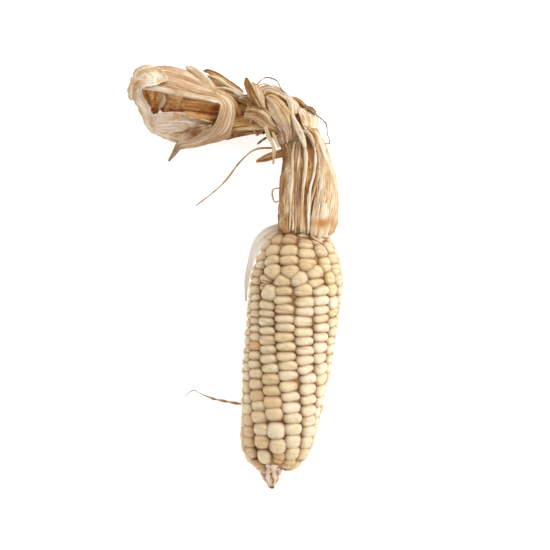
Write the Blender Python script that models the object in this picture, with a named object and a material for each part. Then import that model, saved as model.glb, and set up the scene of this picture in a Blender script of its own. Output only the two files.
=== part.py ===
"""Dried corn cob with its husk pulled back, tied and wound into a loop, lying on a flat surface.

The cob lies with its butt end towards +Y and its bare tip towards -Y. The husk leaves leave the butt end as
a neck, bend over to -X under a tie, and end in an open loop. The surface it lies on is z = 0, and the
origin is the middle of the box it fills. Lengths are written in millimetres and turned to metres by MM.
"""

import math

import bmesh
import bpy
import numpy as np
from mathutils import Vector

MM = 0.001

# The ear: a line from the butt end to the far end of the kernels, and the radius of the kernel crowns.
EAR_BUTT = (34.6, 21.3, 25.0)
EAR_FAR_END = (19.9, -98.3, 19.9)
CROWN_RADIUS = [
    (0.0, 13.2), (3.0, 16.3), (6.0, 18.4), (10.0, 20.4), (15.0, 22.0), (21.0, 23.6), (28.0, 24.3),
    (70.0, 22.5), (84.0, 21.2), (95.0, 20.0), (104.0, 18.8), (111.0, 16.5), (116.0, 14.0), (120.5, 9.2),
]
KERNEL_ROWS = 16
KERNELS_IN_ROW = 25
KERNEL_HEIGHT = 2.0
KERNEL_GROOVE = 0.9
FIRST_ROW_TURN = 0.0
LOWEST_KERNEL_Z = 0.05
BARE_TIP = [(121.5, 6.2), (124.0, 5.2), (126.5, 3.6), (129.0, 1.4)]

# The bundle of leaves: its middle line, half width in the lying plane and half depth across it.
BUNDLE_LINE = [
    (34.8, 22.9, 25.6), (35.8, 31.0, 25.6), (36.4, 41.0, 24.0), (36.4, 51.0, 21.5), (35.6, 60.0, 19.0),
    (33.2, 68.0, 17.2), (28.6, 75.0, 16.0), (21.5, 80.0, 15.2), (13.5, 82.0, 14.6), (5.6, 81.2, 14.2),
]
BUNDLE_HALF_WIDTH = [15.2, 15.2, 14.8, 13.4, 11.4, 10.4, 10.0, 10.2, 10.6, 11.0]
BUNDLE_HALF_DEPTH = [14.0, 13.0, 12.0, 10.8, 9.6, 9.0, 8.8, 8.8, 8.6, 8.4]
OUTER_LAYER = (0.80, 1.0)
INNER_LAYER = (0.50, 0.74)

BUNDLE_STATIONS = 33
FINE_STATIONS = 401
STALK_REACH = 0.44
STALK_STATIONS = 13
STALK_SIDES = 12

# Tie strips lie just outside the bundle, as a share of its half size.
TIE_LAYER = (1.045, 1.15)
TIE_STEP_DEGREES = 15

LEAF_THICKNESS = 0.9
LEAF_STEPS_LONG = 14
LEAF_STEPS_ACROSS = 3
CURVE_STEPS = 24

PALE = (0.85, 0.73, 0.54)
CREAM = (0.90, 0.82, 0.66)
TAN = (0.66, 0.43, 0.22)
MAUVE = (0.55, 0.38, 0.28)
BROWN = (0.34, 0.17, 0.07)
KERNEL = (0.87, 0.76, 0.54)


def clear_scene():
    for item in list(bpy.data.objects):
        bpy.data.objects.remove(item, do_unlink=True)


def plain_material(name, colour, roughness):
    material = bpy.data.materials.new(name)
    material.use_nodes = True
    shader = material.node_tree.nodes["Principled BSDF"]
    shader.inputs["Base Color"].default_value = (*colour, 1.0)
    shader.inputs["Roughness"].default_value = roughness
    shader.inputs["Metallic"].default_value = 0.0
    return material


def add_object(name, data, colour, roughness=0.7):
    item = bpy.data.objects.new(name, data)
    item.data.materials.append(plain_material(name, colour, roughness))
    bpy.context.scene.collection.objects.link(item)
    return item


def finish_mesh(name, working, colour):
    """Turn a working mesh into a named object whose faces point outwards."""
    bmesh.ops.recalc_face_normals(working, faces=working.faces)
    mesh = bpy.data.meshes.new(name)
    working.to_mesh(mesh)
    working.free()
    mesh.shade_smooth()
    mesh.set_sharp_from_angle(angle=math.radians(40))
    return add_object(name, mesh, colour)


def spread(points, count):
    """Rows of numbers on a smooth curve through the given points, evenly spaced along it."""
    points = np.array(points, float)
    ends = [2 * points[0] - points[1], 2 * points[-1] - points[-2]]
    knots = np.vstack([ends[0], points, ends[1]])
    fine = []
    for i in range(len(points) - 1):
        a, b, c, d = knots[i:i + 4]
        for t in np.linspace(0.0, 1.0, CURVE_STEPS, endpoint=False):
            curve = 2 * b + (c - a) * t + (2 * a - 5 * b + 4 * c - d) * t**2
            fine.append(0.5 * (curve + (3 * b - a - 3 * c + d) * t**3))
    fine.append(points[-1])
    fine = np.array(fine)
    steps = np.linalg.norm(np.diff(fine[:, :3], axis=0), axis=1)
    travelled = np.concatenate([[0.0], np.cumsum(steps)])
    wanted = np.linspace(0.0, travelled[-1], count)
    return np.column_stack([np.interp(wanted, travelled, column) for column in fine.T])


def unit(vectors):
    lengths = np.linalg.norm(vectors, axis=-1, keepdims=True)
    return vectors / np.maximum(lengths, 1e-9)


def solid_from_sheets(name, front, back, colour):
    """Close two matching sheets of points, front and back, into one solid."""
    rows, columns = front.shape[:2]
    working = bmesh.new()
    sheets = []
    for sheet in (front, back):
        made = [[working.verts.new(Vector(point) * MM) for point in row] for row in sheet]
        sheets.append(made)
    for made in sheets:
        for i in range(rows - 1):
            for j in range(columns - 1):
                working.faces.new((made[i][j], made[i + 1][j], made[i + 1][j + 1], made[i][j + 1]))
    border = [(i, 0) for i in range(rows)]
    border += [(rows - 1, j) for j in range(1, columns)]
    border += [(i, columns - 1) for i in range(rows - 2, -1, -1)]
    border += [(0, j) for j in range(columns - 2, 0, -1)]
    for (i, j), (k, m) in zip(border, border[1:] + border[:1]):
        working.faces.new((sheets[0][i][j], sheets[0][k][m], sheets[1][k][m], sheets[1][i][j]))
    return finish_mesh(name, working, colour)


def leaf(name, low_edge, high_edge, arch, colour, thickness=LEAF_THICKNESS, steps=LEAF_STEPS_LONG):
    """A leaf between two edge curves. Arch is how far its middle stands out from the straight chord."""
    low = spread(low_edge, steps)
    high = spread(high_edge, steps)
    across = unit(high - low)
    along = unit(np.gradient((low + high) / 2, axis=0))
    outward = unit(np.cross(along, across))
    sheet = []
    for t in np.linspace(0.0, 1.0, LEAF_STEPS_ACROSS + 1):
        rise = arch * 4 * t * (1 - t)
        sheet.append(low + (high - low) * t + outward * rise)
    sheet = np.stack(sheet, axis=1)
    lengthwise = np.gradient(sheet, axis=0)
    crosswise = np.gradient(sheet, axis=1)
    normal = unit(np.cross(lengthwise, crosswise))
    half = normal * thickness / 2
    return solid_from_sheets(name, sheet + half, sheet - half, colour)


def bundle_frame(count):
    """Middle points, sideways and upward directions and half sizes along the bundle."""
    rows = [(*p, w, d) for p, w, d in zip(BUNDLE_LINE, BUNDLE_HALF_WIDTH, BUNDLE_HALF_DEPTH)]
    rows = spread(rows, count)
    middle = rows[:, :3]
    along = unit(np.gradient(middle, axis=0))
    sideways = unit(np.cross(along, np.array([0.0, 0.0, 1.0])))
    upward = unit(np.cross(sideways, along))
    return middle, sideways, upward, rows[:, 3], rows[:, 4]


def bundle_point(place, station, turn, reach):
    """The point at an angle round the bundle, at a share of its half size."""
    middle, sideways, upward, width, depth = place
    side = sideways[station] * width[station] * math.cos(turn)
    up = upward[station] * depth[station] * math.sin(turn)
    return middle[station] + (side + up) * reach


def bundle_leaf(name, turns, layer, span, colour):
    """A leaf that follows the bundle, filling a range of angles (degrees) in one layer."""
    place = bundle_frame(BUNDLE_STATIONS)
    last = BUNDLE_STATIONS - 1
    stations = range(round(span[0] * last), round(span[1] * last) + 1, 2)
    angles = [math.radians(a) for a in np.linspace(turns[0], turns[1], LEAF_STEPS_ACROSS + 1)]
    inner = np.array([[bundle_point(place, s, a, layer[0]) for a in angles] for s in stations])
    outer = np.array([[bundle_point(place, s, a, layer[1]) for a in angles] for s in stations])
    return solid_from_sheets(name, outer, inner, colour)


def tie_band(name, share, width, turns, slant, colour):
    """A strip wound round the bundle. Slant shifts it along the bundle between its two ends."""
    last = FINE_STATIONS - 1
    place = bundle_frame(FINE_STATIONS)
    length = np.linalg.norm(np.diff(place[0], axis=0), axis=1).sum()
    angles = np.linspace(turns[0], turns[1], 1 + round((turns[1] - turns[0]) / TIE_STEP_DEGREES))
    sheets = []
    for reach in TIE_LAYER:
        sheet = []
        for angle in angles:
            lean = slant * ((angle - turns[0]) / (turns[1] - turns[0]) - 0.5)
            row = []
            for side in np.linspace(-0.5, 0.5, LEAF_STEPS_ACROSS + 1):
                along = share + (lean + side * width) / length
                station = min(max(round(along * last), 0), last)
                row.append(bundle_point(place, station, math.radians(angle), reach))
            sheet.append(row)
        sheets.append(np.array(sheet))
    return solid_from_sheets(name, sheets[1], sheets[0], colour)


def strand(name, route, radius, colour, end_share=0.5):
    """A thin round strand through the route's points, thinner towards its far end."""
    curve = bpy.data.curves.new(name, "CURVE")
    curve.dimensions = "3D"
    curve.bevel_depth = radius * MM
    curve.bevel_resolution = 1
    curve.use_fill_caps = True
    points = spread(route, max(6, 3 * len(route)))
    spline = curve.splines.new("POLY")
    spline.points.add(len(points) - 1)
    for i, point in enumerate(points):
        spline.points[i].co = (*(point * MM), 1.0)
        spline.points[i].radius = 1.0 + (end_share - 1.0) * i / (len(points) - 1)
    return add_object(name, curve, colour)


def ear_ring(distance, radius):
    """The corners of one ring of kernels: points round the ear's axis at a distance from the butt end."""
    butt = np.array(EAR_BUTT)
    far_end = np.array(EAR_FAR_END)
    down = unit(far_end - butt)
    sideways = unit(np.cross(np.array([0.0, 0.0, 1.0]), down))
    upward = np.cross(down, sideways)
    ring = []
    for row in range(KERNEL_ROWS):
        turn = math.radians(FIRST_ROW_TURN + 360.0 * (row - 0.5) / KERNEL_ROWS)
        ring.append(butt + down * distance + (sideways * math.sin(turn) + upward * math.cos(turn)) * radius)
    return ring


def build_ear():
    """The cob with its kernels: rings of raised pads on a grooved body, closed by the bare tip.

    The ear lies on the crowns of its lowest row, which are level with one another.
    """
    distances = [d for d, _ in CROWN_RADIUS]
    radii = [r for _, r in CROWN_RADIUS]
    working = bmesh.new()
    rings = []
    for i in range(KERNELS_IN_ROW + 1):
        distance = distances[-1] * i / KERNELS_IN_ROW
        radius = np.interp(distance, distances, radii) - KERNEL_HEIGHT
        rings.append([working.verts.new(Vector(p) * MM) for p in ear_ring(distance, radius)])
    for distance, radius in BARE_TIP:
        rings.append([working.verts.new(Vector(p) * MM) for p in ear_ring(distance, radius)])
    cells = []
    for i in range(len(rings) - 1):
        for j in range(KERNEL_ROWS):
            k = (j + 1) % KERNEL_ROWS
            face = working.faces.new((rings[i][j], rings[i][k], rings[i + 1][k], rings[i + 1][j]))
            if i < KERNELS_IN_ROW:
                cells.append(face)
    working.faces.new(rings[0])
    working.faces.new(rings[-1])
    bmesh.ops.recalc_face_normals(working, faces=working.faces)
    bmesh.ops.inset_individual(working, faces=cells, thickness=KERNEL_GROOVE * MM, depth=KERNEL_HEIGHT * MM)
    for corner in working.verts:
        corner.co.z = max(corner.co.z, LOWEST_KERNEL_Z * MM)
    return finish_mesh("ear", working, KERNEL)


def build_stalk():
    """The stalk stub inside the neck, which the husk leaves grow from."""
    place = bundle_frame(BUNDLE_STATIONS)
    turns = [2 * math.pi * side / STALK_SIDES for side in range(STALK_SIDES)]
    working = bmesh.new()
    rings = []
    for station in range(0, STALK_STATIONS, 3):
        ring = [bundle_point(place, station, turn, STALK_REACH) for turn in turns]
        rings.append([working.verts.new(Vector(point) * MM) for point in ring])
    for lower, upper in zip(rings, rings[1:]):
        for j in range(STALK_SIDES):
            k = (j + 1) % STALK_SIDES
            working.faces.new((lower[j], lower[k], upper[k], upper[j]))
    working.faces.new(rings[0])
    working.faces.new(rings[-1])
    return finish_mesh("stalk", working, TAN)


def build_neck():
    """Leaves from the butt end to the bend and on to the loop, side by side round the bundle."""
    whole = (0.0, 1.0)
    bundle_leaf("neck_leaf_right", (-28, 82), OUTER_LAYER, whole, PALE)
    bundle_leaf("neck_leaf_ribbed", (87, 112), OUTER_LAYER, whole, MAUVE)
    bundle_leaf("neck_leaf_tan", (117, 143), OUTER_LAYER, whole, TAN)
    bundle_leaf("neck_leaf_twisted", (148, 198), OUTER_LAYER, whole, BROWN)
    bundle_leaf("neck_leaf_under_left", (203, 262), OUTER_LAYER, whole, TAN)
    bundle_leaf("neck_leaf_under_right", (267, 327), OUTER_LAYER, whole, PALE)
    bundle_leaf("inner_leaf_top", (-20, 95), INNER_LAYER, whole, TAN)
    bundle_leaf("inner_leaf_left", (105, 215), INNER_LAYER, whole, TAN)
    bundle_leaf("inner_leaf_bottom", (225, 330), INNER_LAYER, whole, TAN)


def build_ties():
    """Strips of leaf wound round the bend, with their loose ends."""
    tie_band("tie_left", 0.905, 8.6, (-75, 235), 3.0, TAN)
    tie_band("tie_diagonal", 0.70, 11.0, (-60, 230), -8.0, MAUVE)
    bundle_leaf("papery_flap", (2, 62), (1.26, 1.34), (0.50, 0.68), CREAM)
    leaf(
        "tie_ribbon",
        [(23.5, 81.5, 28.2), (29.0, 75.5, 29.2), (32.3, 63.0, 29.8)],
        [(27.0, 84.2, 26.8), (32.8, 77.0, 28.0), (35.8, 64.0, 30.0)],
        0.3, CREAM,
    )
    leaf(
        "stick_leaf",
        [(14.2, 82.6, 27.3), (9.0, 88.5, 26.0), (3.8, 97.0, 23.0)],
        [(17.6, 85.0, 26.6), (12.4, 92.0, 25.4), (6.0, 99.0, 22.6)],
        0.5, TAN, 1.6, 8,
    )
    strand("pale_stub_long", [(15.5, 74.6, 27.0), (17.2, 67.0, 25.0), (20.0, 58.0, 19.0)], 0.9, CREAM)
    strand("pale_stub_short", [(19.2, 71.5, 27.6), (21.2, 66.6, 26.0), (22.4, 64.6, 24.0)], 0.8, CREAM)
    strand("dark_stub", [(16.2, 69.4, 11.0), (14.2, 68.2, 10.0), (12.0, 66.4, 9.0)], 0.6, BROWN)


def build_loop():
    """The open loop that the leaf ends are wound into: two curved leaves round a hollow."""
    leaf(
        "loop_leaf_outer",
        [
            (-39.0, 105.8, 8.0), (-31.0, 106.0, 7.5), (-24.0, 105.9, 7.5), (-15.5, 101.4, 8.0),
            (-8.0, 93.8, 10.0), (0.3, 82.6, 11.5), (2.2, 74.2, 10.5), (-3.0, 67.3, 7.5), (-13.0, 64.3, 4.0),
            (-21.5, 62.9, 1.4), (-28.0, 63.9, 0.8), (-31.3, 61.4, 1.0), (-33.6, 58.4, 1.6),
        ],
        [
            (-35.5, 91.2, 32.0), (-27.0, 89.2, 33.0), (-18.0, 87.9, 34.0), (-10.5, 86.9, 34.0),
            (-5.2, 84.3, 33.5), (-3.2, 80.3, 32.5), (-5.2, 76.2, 31.0), (-11.0, 73.2, 28.0),
            (-18.0, 70.9, 24.0), (-25.0, 69.5, 18.5), (-30.0, 69.2, 13.0), (-32.8, 64.6, 8.0),
            (-34.0, 59.2, 3.4),
        ],
        -3.0, PALE, LEAF_THICKNESS, 26,
    )
    leaf(
        "loop_leaf_inner",
        [
            (-10.0, 73.8, 9.0), (-19.5, 69.0, 4.0), (-32.0, 69.6, 0.8), (-42.0, 73.6, 0.15),
            (-48.8, 81.2, 0.15), (-54.0, 89.2, 0.6), (-53.8, 97.6, 2.0), (-48.0, 104.2, 4.0),
            (-42.0, 104.6, 7.0),
        ],
        [
            (-10.0, 78.2, 20.0), (-19.5, 78.9, 25.0), (-31.0, 80.8, 27.0), (-38.6, 80.6, 28.0),
            (-43.0, 85.2, 28.5), (-44.6, 89.2, 29.0), (-44.0, 92.6, 30.0), (-41.4, 94.2, 30.0),
            (-38.6, 93.2, 29.5),
        ],
        -2.5, PALE, LEAF_THICKNESS, 22,
    )
    leaf(
        "loop_floor_leaf",
        [(3.6, 89.6, 8.6), (-6.0, 91.6, 6.0), (-22.0, 94.6, 3.4), (-38.0, 92.0, 4.0)],
        [(3.6, 76.4, 7.8), (-6.0, 75.2, 5.4), (-22.0, 75.2, 3.4), (-36.0, 79.0, 4.0)],
        0.8, BROWN,
    )
    leaf(
        "mouth_leaf_right",
        [(-8.6, 84.6, 16.0), (-16.0, 85.6, 14.0), (-24.5, 86.2, 13.0)],
        [(-9.4, 80.6, 15.0), (-16.0, 79.6, 13.0), (-24.0, 80.6, 12.0)],
        -2.0, BROWN,
    )
    leaf(
        "mouth_leaf_left",
        [(-26.5, 88.6, 18.0), (-33.0, 90.4, 18.5), (-40.0, 90.6, 17.0)],
        [(-27.0, 80.6, 10.0), (-33.0, 81.0, 9.0), (-39.6, 83.2, 9.0)],
        -1.5, TAN,
    )
    leaf(
        "mouth_curl",
        [(-9.0, 84.2, 22.0), (-12.5, 84.0, 20.5), (-15.2, 81.6, 19.0)],
        [(-9.6, 82.2, 21.0), (-12.4, 82.0, 19.5), (-13.6, 80.8, 18.4)],
        0.2, CREAM, 0.8, 8,
    )


def build_back_leaves():
    """Leaf ends that leave the tie towards the upper side of the loop and pass under its edge."""
    leaf(
        "pointed_leaf",
        [(3.2, 93.2, 14.0), (-6.0, 99.6, 9.0), (-15.0, 104.6, 4.5)],
        [(3.2, 89.4, 11.5), (-6.0, 94.8, 6.0), (-15.4, 102.8, 3.4)],
        0.6, TAN,
    )
    leaf(
        "striped_leaf",
        [(3.2, 92.2, 18.4), (-4.0, 96.8, 12.6), (-12.0, 100.6, 7.4)],
        [(3.2, 88.6, 18.6), (-3.0, 92.0, 12.4), (-10.0, 96.6, 6.6)],
        0.6, CREAM,
    )
    leaf(
        "side_leaf",
        [(19.6, 24.8, 19.0), (11.4, 17.0, 19.0), (7.4, 10.0, 17.5), (6.0, 2.0, 15.0), (5.0, -6.0, 12.4)],
        [(20.6, 23.2, 14.5), (12.8, 13.6, 14.0), (9.4, 8.6, 14.0), (7.6, 1.4, 12.6), (6.6, -5.6, 11.2)],
        0.2, CREAM, 0.6, 12,
    )
    leaf(
        "brown_flake",
        [(21.6, 62.6, 17.0), (17.0, 60.6, 15.6), (11.0, 57.6, 14.0)],
        [(21.6, 58.8, 17.0), (16.6, 57.8, 15.4), (11.2, 56.6, 13.8)],
        0.4, BROWN, 1.0, 8,
    )


def build_fibres():
    """Thin dry strands that stand away from the neck, the tie and the ear."""
    strand(
        "long_strand",
        [
            (19.4, 64.2, 16.0), (10.5, 63.3, 15.0), (3.0, 57.3, 13.0), (-4.5, 47.8, 10.0),
            (-11.0, 41.8, 7.0), (-19.5, 35.4, 3.0),
        ],
        0.6, CREAM,
    )
    strand(
        "right_thread",
        [(36.0, 87.6, 20.0), (41.6, 84.0, 21.0), (47.6, 77.4, 21.0), (50.2, 69.6, 19.0), (49.0, 65.8, 18.0)],
        0.4, BROWN, 0.8,
    )
    strand(
        "top_thread",
        [(14.0, 96.8, 17.0), (17.0, 99.6, 19.0), (21.0, 98.6, 20.0), (26.4, 92.6, 18.0)],
        0.4, TAN, 0.8,
    )
    strand(
        "neck_curl",
        [(21.0, 43.8, 24.0), (18.8, 42.6, 25.0), (18.4, 39.8, 25.0), (19.0, 36.6, 25.0), (20.0, 35.4, 24.0)],
        0.4, CREAM, 0.8,
    )
    strand(
        "ear_strand",
        [
            (5.6, -64.4, 7.6), (-6.0, -63.3, 5.6), (-13.0, -61.3, 4.2), (-17.5, -59.3, 3.4),
            (-21.0, -57.8, 2.8), (-25.5, -60.8, 2.4),
        ],
        0.8, TAN, 0.35,
    )
    strand(
        "silk_hair",
        [(29.0, 21.0, 40.2), (37.0, 17.8, 43.6), (44.0, 13.8, 43.2), (48.4, 9.8, 42.6)],
        0.3, BROWN, 0.8,
    )


def main():
    clear_scene()
    build_ear()
    build_stalk()
    build_neck()
    build_ties()
    build_loop()
    build_back_leaves()
    build_fibres()


main()
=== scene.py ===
"""Looks of the dried corn cob: kernels, cob, husk leaves, tie, loop and fibres, on a pale floor.

Laid out as a Blender add-on and run as a script. Each operator makes one piece or a group of like pieces in
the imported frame. Lengths inside the functions are millimetres, turned to metres where a mesh is made.
"""

import math

import bpy
import numpy as np
from bpy.props import FloatProperty, FloatVectorProperty, PointerProperty
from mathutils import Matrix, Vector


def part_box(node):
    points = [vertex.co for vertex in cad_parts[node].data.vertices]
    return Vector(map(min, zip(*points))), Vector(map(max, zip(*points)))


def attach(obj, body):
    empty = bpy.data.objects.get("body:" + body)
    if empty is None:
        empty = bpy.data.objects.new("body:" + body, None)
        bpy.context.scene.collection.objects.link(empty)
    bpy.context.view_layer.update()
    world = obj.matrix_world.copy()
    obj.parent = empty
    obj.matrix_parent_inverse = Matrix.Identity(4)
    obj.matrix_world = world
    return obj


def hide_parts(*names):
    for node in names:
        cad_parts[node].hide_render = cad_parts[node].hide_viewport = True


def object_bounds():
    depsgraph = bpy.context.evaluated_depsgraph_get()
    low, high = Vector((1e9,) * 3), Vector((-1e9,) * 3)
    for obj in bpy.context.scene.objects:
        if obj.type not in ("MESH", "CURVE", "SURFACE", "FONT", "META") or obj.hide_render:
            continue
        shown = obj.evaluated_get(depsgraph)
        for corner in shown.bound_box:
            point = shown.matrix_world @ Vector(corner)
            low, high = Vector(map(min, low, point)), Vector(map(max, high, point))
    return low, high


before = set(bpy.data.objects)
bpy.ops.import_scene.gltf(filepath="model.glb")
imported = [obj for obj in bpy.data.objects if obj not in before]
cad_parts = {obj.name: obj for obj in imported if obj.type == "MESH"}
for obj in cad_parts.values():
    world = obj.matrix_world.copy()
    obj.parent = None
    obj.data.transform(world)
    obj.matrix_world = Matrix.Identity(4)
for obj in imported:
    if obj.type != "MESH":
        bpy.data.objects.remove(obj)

bl_info = {
    "name": "Dried corn cob",
    "version": (1, 0, 0),
    "blender": (4, 5, 0),
    "location": "3D View > Sidebar > Corn cob",
    "description": "Makes a dried corn cob with its husk tied back, on a pale studio floor",
    "category": "Object",
}

MM = 0.001
CAD_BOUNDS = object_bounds()
FLOOR_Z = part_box("ear")[0][2]

# The ear's axis from the butt end to the end of the kernels, and how far out the kernel crowns stand.
EAR_BUTT = np.array((34.6, 21.3, 25.0))
EAR_FAR_END = np.array((19.9, -98.3, 19.9))
CROWN_RADIUS = [
    (-0.8, 11), (0, 13), (3, 16.3), (6, 18.4), (10, 20.4), (15, 22), (21, 23.6), (28, 24.3), (49, 23.4),
    (70, 22.5), (84, 21.2), (95, 20), (104, 18.8), (111, 16.5), (116, 13.4), (119.5, 9.6), (121, 6.5),
]

# The bundle of leaves: x, y and z of its middle line, half width in the lying plane and half depth.
BUNDLE_LINE = [
    (34.8, 22.9, 25.6, 15.2, 14), (35.8, 31, 25.6, 15.2, 13), (36.4, 41, 24, 14.8, 12),
    (36.4, 51, 21.5, 13.4, 10.8), (35.6, 60, 19, 11.4, 9.6), (33.2, 68, 17.2, 10.4, 9),
    (28.6, 75, 16, 10, 8.8), (21.5, 80, 15.2, 10.2, 8.8), (13.5, 82, 14.6, 10.6, 8.6),
    (5.6, 81.2, 14.2, 11, 8.4),
]
BUNDLE_STATIONS = 241
# How many stations before the bundle's first one a leaf may start.
BUNDLE_LEAD = 18.0

# A leaf narrower than WIDE_LEAF is arched less. CRUMPLE_SIZE is the width of one crumple, COIL_SPACING the
# distance between the coils of a twisted strip, and TATTER_SEED picks the teeth of ragged ends.
WIDE_LEAF = 12.0
CRUMPLE_SIZE = 4.5
COIL_SPACING = 2.6
LEAF_THICKNESS = 0.3
TIE_THICKNESS = 0.5
TATTER_SEED = 3


# ---------------------------------------------------------------- shapes


def unit(vectors):
    lengths = np.linalg.norm(vectors, axis=-1, keepdims=True)
    return vectors / np.maximum(lengths, 1e-9)


def smooth_step(values):
    values = np.clip(values, 0.0, 1.0)
    return values * values * (3 - 2 * values)


def between_keys(keys, wanted):
    """Values on the straight lines between given (place, value) keys."""
    return np.interp(wanted, *np.array(keys, float).T)


def stretch(values, count):
    """The given values, stretched evenly over count places."""
    return np.interp(np.linspace(0, 1, count), np.linspace(0, 1, len(values)), values)


def turn_from(turns, start):
    """How far turns in degrees are from a start, from -180 to 180."""
    return (turns - start + 180) % 360 - 180


def spread(points, count):
    """Rows of numbers on a smooth curve through the given points, evenly spaced along it."""
    points = np.array(points, float)
    knots = np.vstack([2 * points[0] - points[1], points, 2 * points[-1] - points[-2]])
    fine = []
    for i in range(len(points) - 1):
        a, b, c, d = knots[i:i + 4]
        for t in np.linspace(0.0, 1.0, 40, endpoint=False):
            curve = 2 * b + (c - a) * t + (2 * a - 5 * b + 4 * c - d) * t**2
            fine.append(0.5 * (curve + (3 * b - a - 3 * c + d) * t**3))
    fine = np.array(fine + [points[-1]])
    steps = np.linalg.norm(np.diff(fine[:, :3], axis=0), axis=1)
    travelled = np.concatenate([[0.0], np.cumsum(steps)])
    wanted = np.linspace(0.0, travelled[-1], count)
    return np.column_stack([np.interp(wanted, travelled, column) for column in fine.T])


def patchy(across, along, seed):
    """Smooth random values from -1 to 1 over a plane, one patch to each unit of across and along."""
    columns, rows = 97, 89
    table = np.random.default_rng(seed).uniform(-1.0, 1.0, (columns, rows))
    a0 = np.floor(across).astype(int)
    b0 = np.floor(along).astype(int)
    fa = smooth_step(across - a0)
    fb = smooth_step(along - b0)
    corner = table[a0 % columns, b0 % rows]
    right = table[(a0 + 1) % columns, b0 % rows]
    above = table[a0 % columns, (b0 + 1) % rows]
    far = table[(a0 + 1) % columns, (b0 + 1) % rows]
    return (corner * (1 - fa) + right * fa) * (1 - fb) + (above * (1 - fa) + far * fa) * fb


def key_curve(keys, wanted):
    """Values that pass smoothly through given (place, value) keys."""
    places, values = np.array(keys, float).T
    wanted = np.asarray(wanted, float)
    slopes = np.gradient(values, places)
    spot = np.clip(np.searchsorted(places, wanted) - 1, 0, len(places) - 2)
    gap = places[spot + 1] - places[spot]
    t = np.clip((wanted - places[spot]) / gap, 0.0, 1.0)
    start, end = values[spot], values[spot + 1]
    bend = (2 * t**3 - 3 * t**2 + 1) * start + (-2 * t**3 + 3 * t**2) * end
    return bend + gap * ((t**3 - 2 * t**2 + t) * slopes[spot] + (t**3 - t**2) * slopes[spot + 1])


def make_piece(name, points, faces, material, values, surface_map=None):
    """A mesh piece from points in millimetres, riding on the root body.

    values holds named numbers for each point, and surface_map two lengths in millimetres for each point.
    """
    mesh = bpy.data.meshes.new(name)
    mesh.from_pydata((np.asarray(points) * MM).tolist(), [], faces)
    for key, numbers in values.items():
        layer = mesh.attributes.new(key, "FLOAT", "POINT")
        layer.data.foreach_set("value", np.asarray(numbers, np.float32).ravel())
    if surface_map is not None:
        corners = np.empty(len(mesh.loops), np.int32)
        mesh.loops.foreach_get("vertex_index", corners)
        layer = mesh.uv_layers.new(name="surface")
        layer.data.foreach_set("uv", np.asarray(surface_map, np.float32)[corners].ravel())
    mesh.shade_smooth()
    mesh.materials.append(material)
    piece = bpy.data.objects.new(name, mesh)
    bpy.context.scene.collection.objects.link(piece)
    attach(piece, "root")
    return piece


def tube_faces(rings, sides, first=0):
    """Quads between rings of points, each ring closed on itself. first is the first ring's first point."""
    faces = []
    for base in range(first, first + (rings - 1) * sides, sides):
        for j in range(sides):
            k = (j + 1) % sides
            faces.append((base + j, base + sides + j, base + sides + k, base + k))
    return faces


def sheet_normals(sheet):
    return unit(np.cross(np.gradient(sheet, axis=0), np.gradient(sheet, axis=1)))


def sheet_faces(rows, columns):
    """Quads of a closed sheet: front points first, then back points, then the border between them."""
    half = rows * columns
    front = np.arange(half).reshape(rows, columns)
    quads = np.stack([front[:-1, :-1], front[1:, :-1], front[1:, 1:], front[:-1, 1:]], axis=-1).reshape(-1, 4)
    quads = np.stack([quads, half + quads[:, ::-1]], axis=1).reshape(-1, 4)
    border = np.concatenate([front[:, 0], front[-1, 1:], front[-2::-1, -1], front[0, -2:0:-1]])
    after = np.roll(border, -1)
    rim = np.stack([after, border, half + border, half + after], axis=1)
    return quads.tolist() + rim.tolist()


# Brown marks on the leaves: real stains, and painted shade on the loop's top flap and under its mouth's rim.
# For each:
# the middle in plan, its reach along and across, the angle of its length from the x axis in degrees, and its
# strength.
STAINS_AND_SHADE = [
    ((45, 25.9), (9, 3.5), 4, 1.05), ((38.5, 62), (6, 2.4), 80, 0.9), ((24.4, 22.6), (3, 2.6), 0, 1.0),
    ((40.2, 44.5), (8, 1.4), 75, 0.8), ((-20, 72), (4.5, 2.4), 20, 1.1),
    # Painted shade: the four marks on the loop's top flap, from x -35.5 to -24.5, lie in its fold valleys,
    # and the one at (-26.9, 90.8) is painted shadow under the mouth's rim.
    ((-35.5, 101.3), (6.5, 1.1), -28, 0.8), ((-24.5, 95.8), (7, 1.1), -30, 0.7),
    ((-26, 98.6), (13, 3.6), -22, 0.32), ((-28.8, 101.9), (6, 0.8), -22, 0.6),
    ((-26.9, 90.8), (9, 0.8), -14, 0.5), ((47.5, 50), (8, 1.3), 96, 0.7), ((34.5, 38), (12, 1.2), 92, 0.7),
    ((-12, 66.8), (8, 1.2), 14, 0.8), ((-44.6, 87.6), (5, 1.4), 115, 0.6), ((-50.4, 97), (4, 1), 60, 0.5),
    ((-41, 75.2), (3, 1.4), 120, 0.6),
]


def stain_and_shade_at(points):
    """How far stains and painted shade cover the leaves at each point, from 0 to 1."""
    stain = np.zeros(len(points))
    rough = 0.75 + 0.5 * patchy(points[:, 0] / 2.1, points[:, 1] / 3.3, 77)
    for (x, y), (reach_along, reach_across), angle, strength in STAINS_AND_SHADE:
        turn = math.radians(angle)
        away_x, away_y = points[:, 0] - x, points[:, 1] - y
        along = (away_x * math.cos(turn) + away_y * math.sin(turn)) / reach_along
        across = (away_y * math.cos(turn) - away_x * math.sin(turn)) / reach_across
        stain = np.maximum(stain, strength * rough * np.exp(-along ** 2 - across ** 2))
    return np.clip(stain, 0.0, 1.0)


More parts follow.
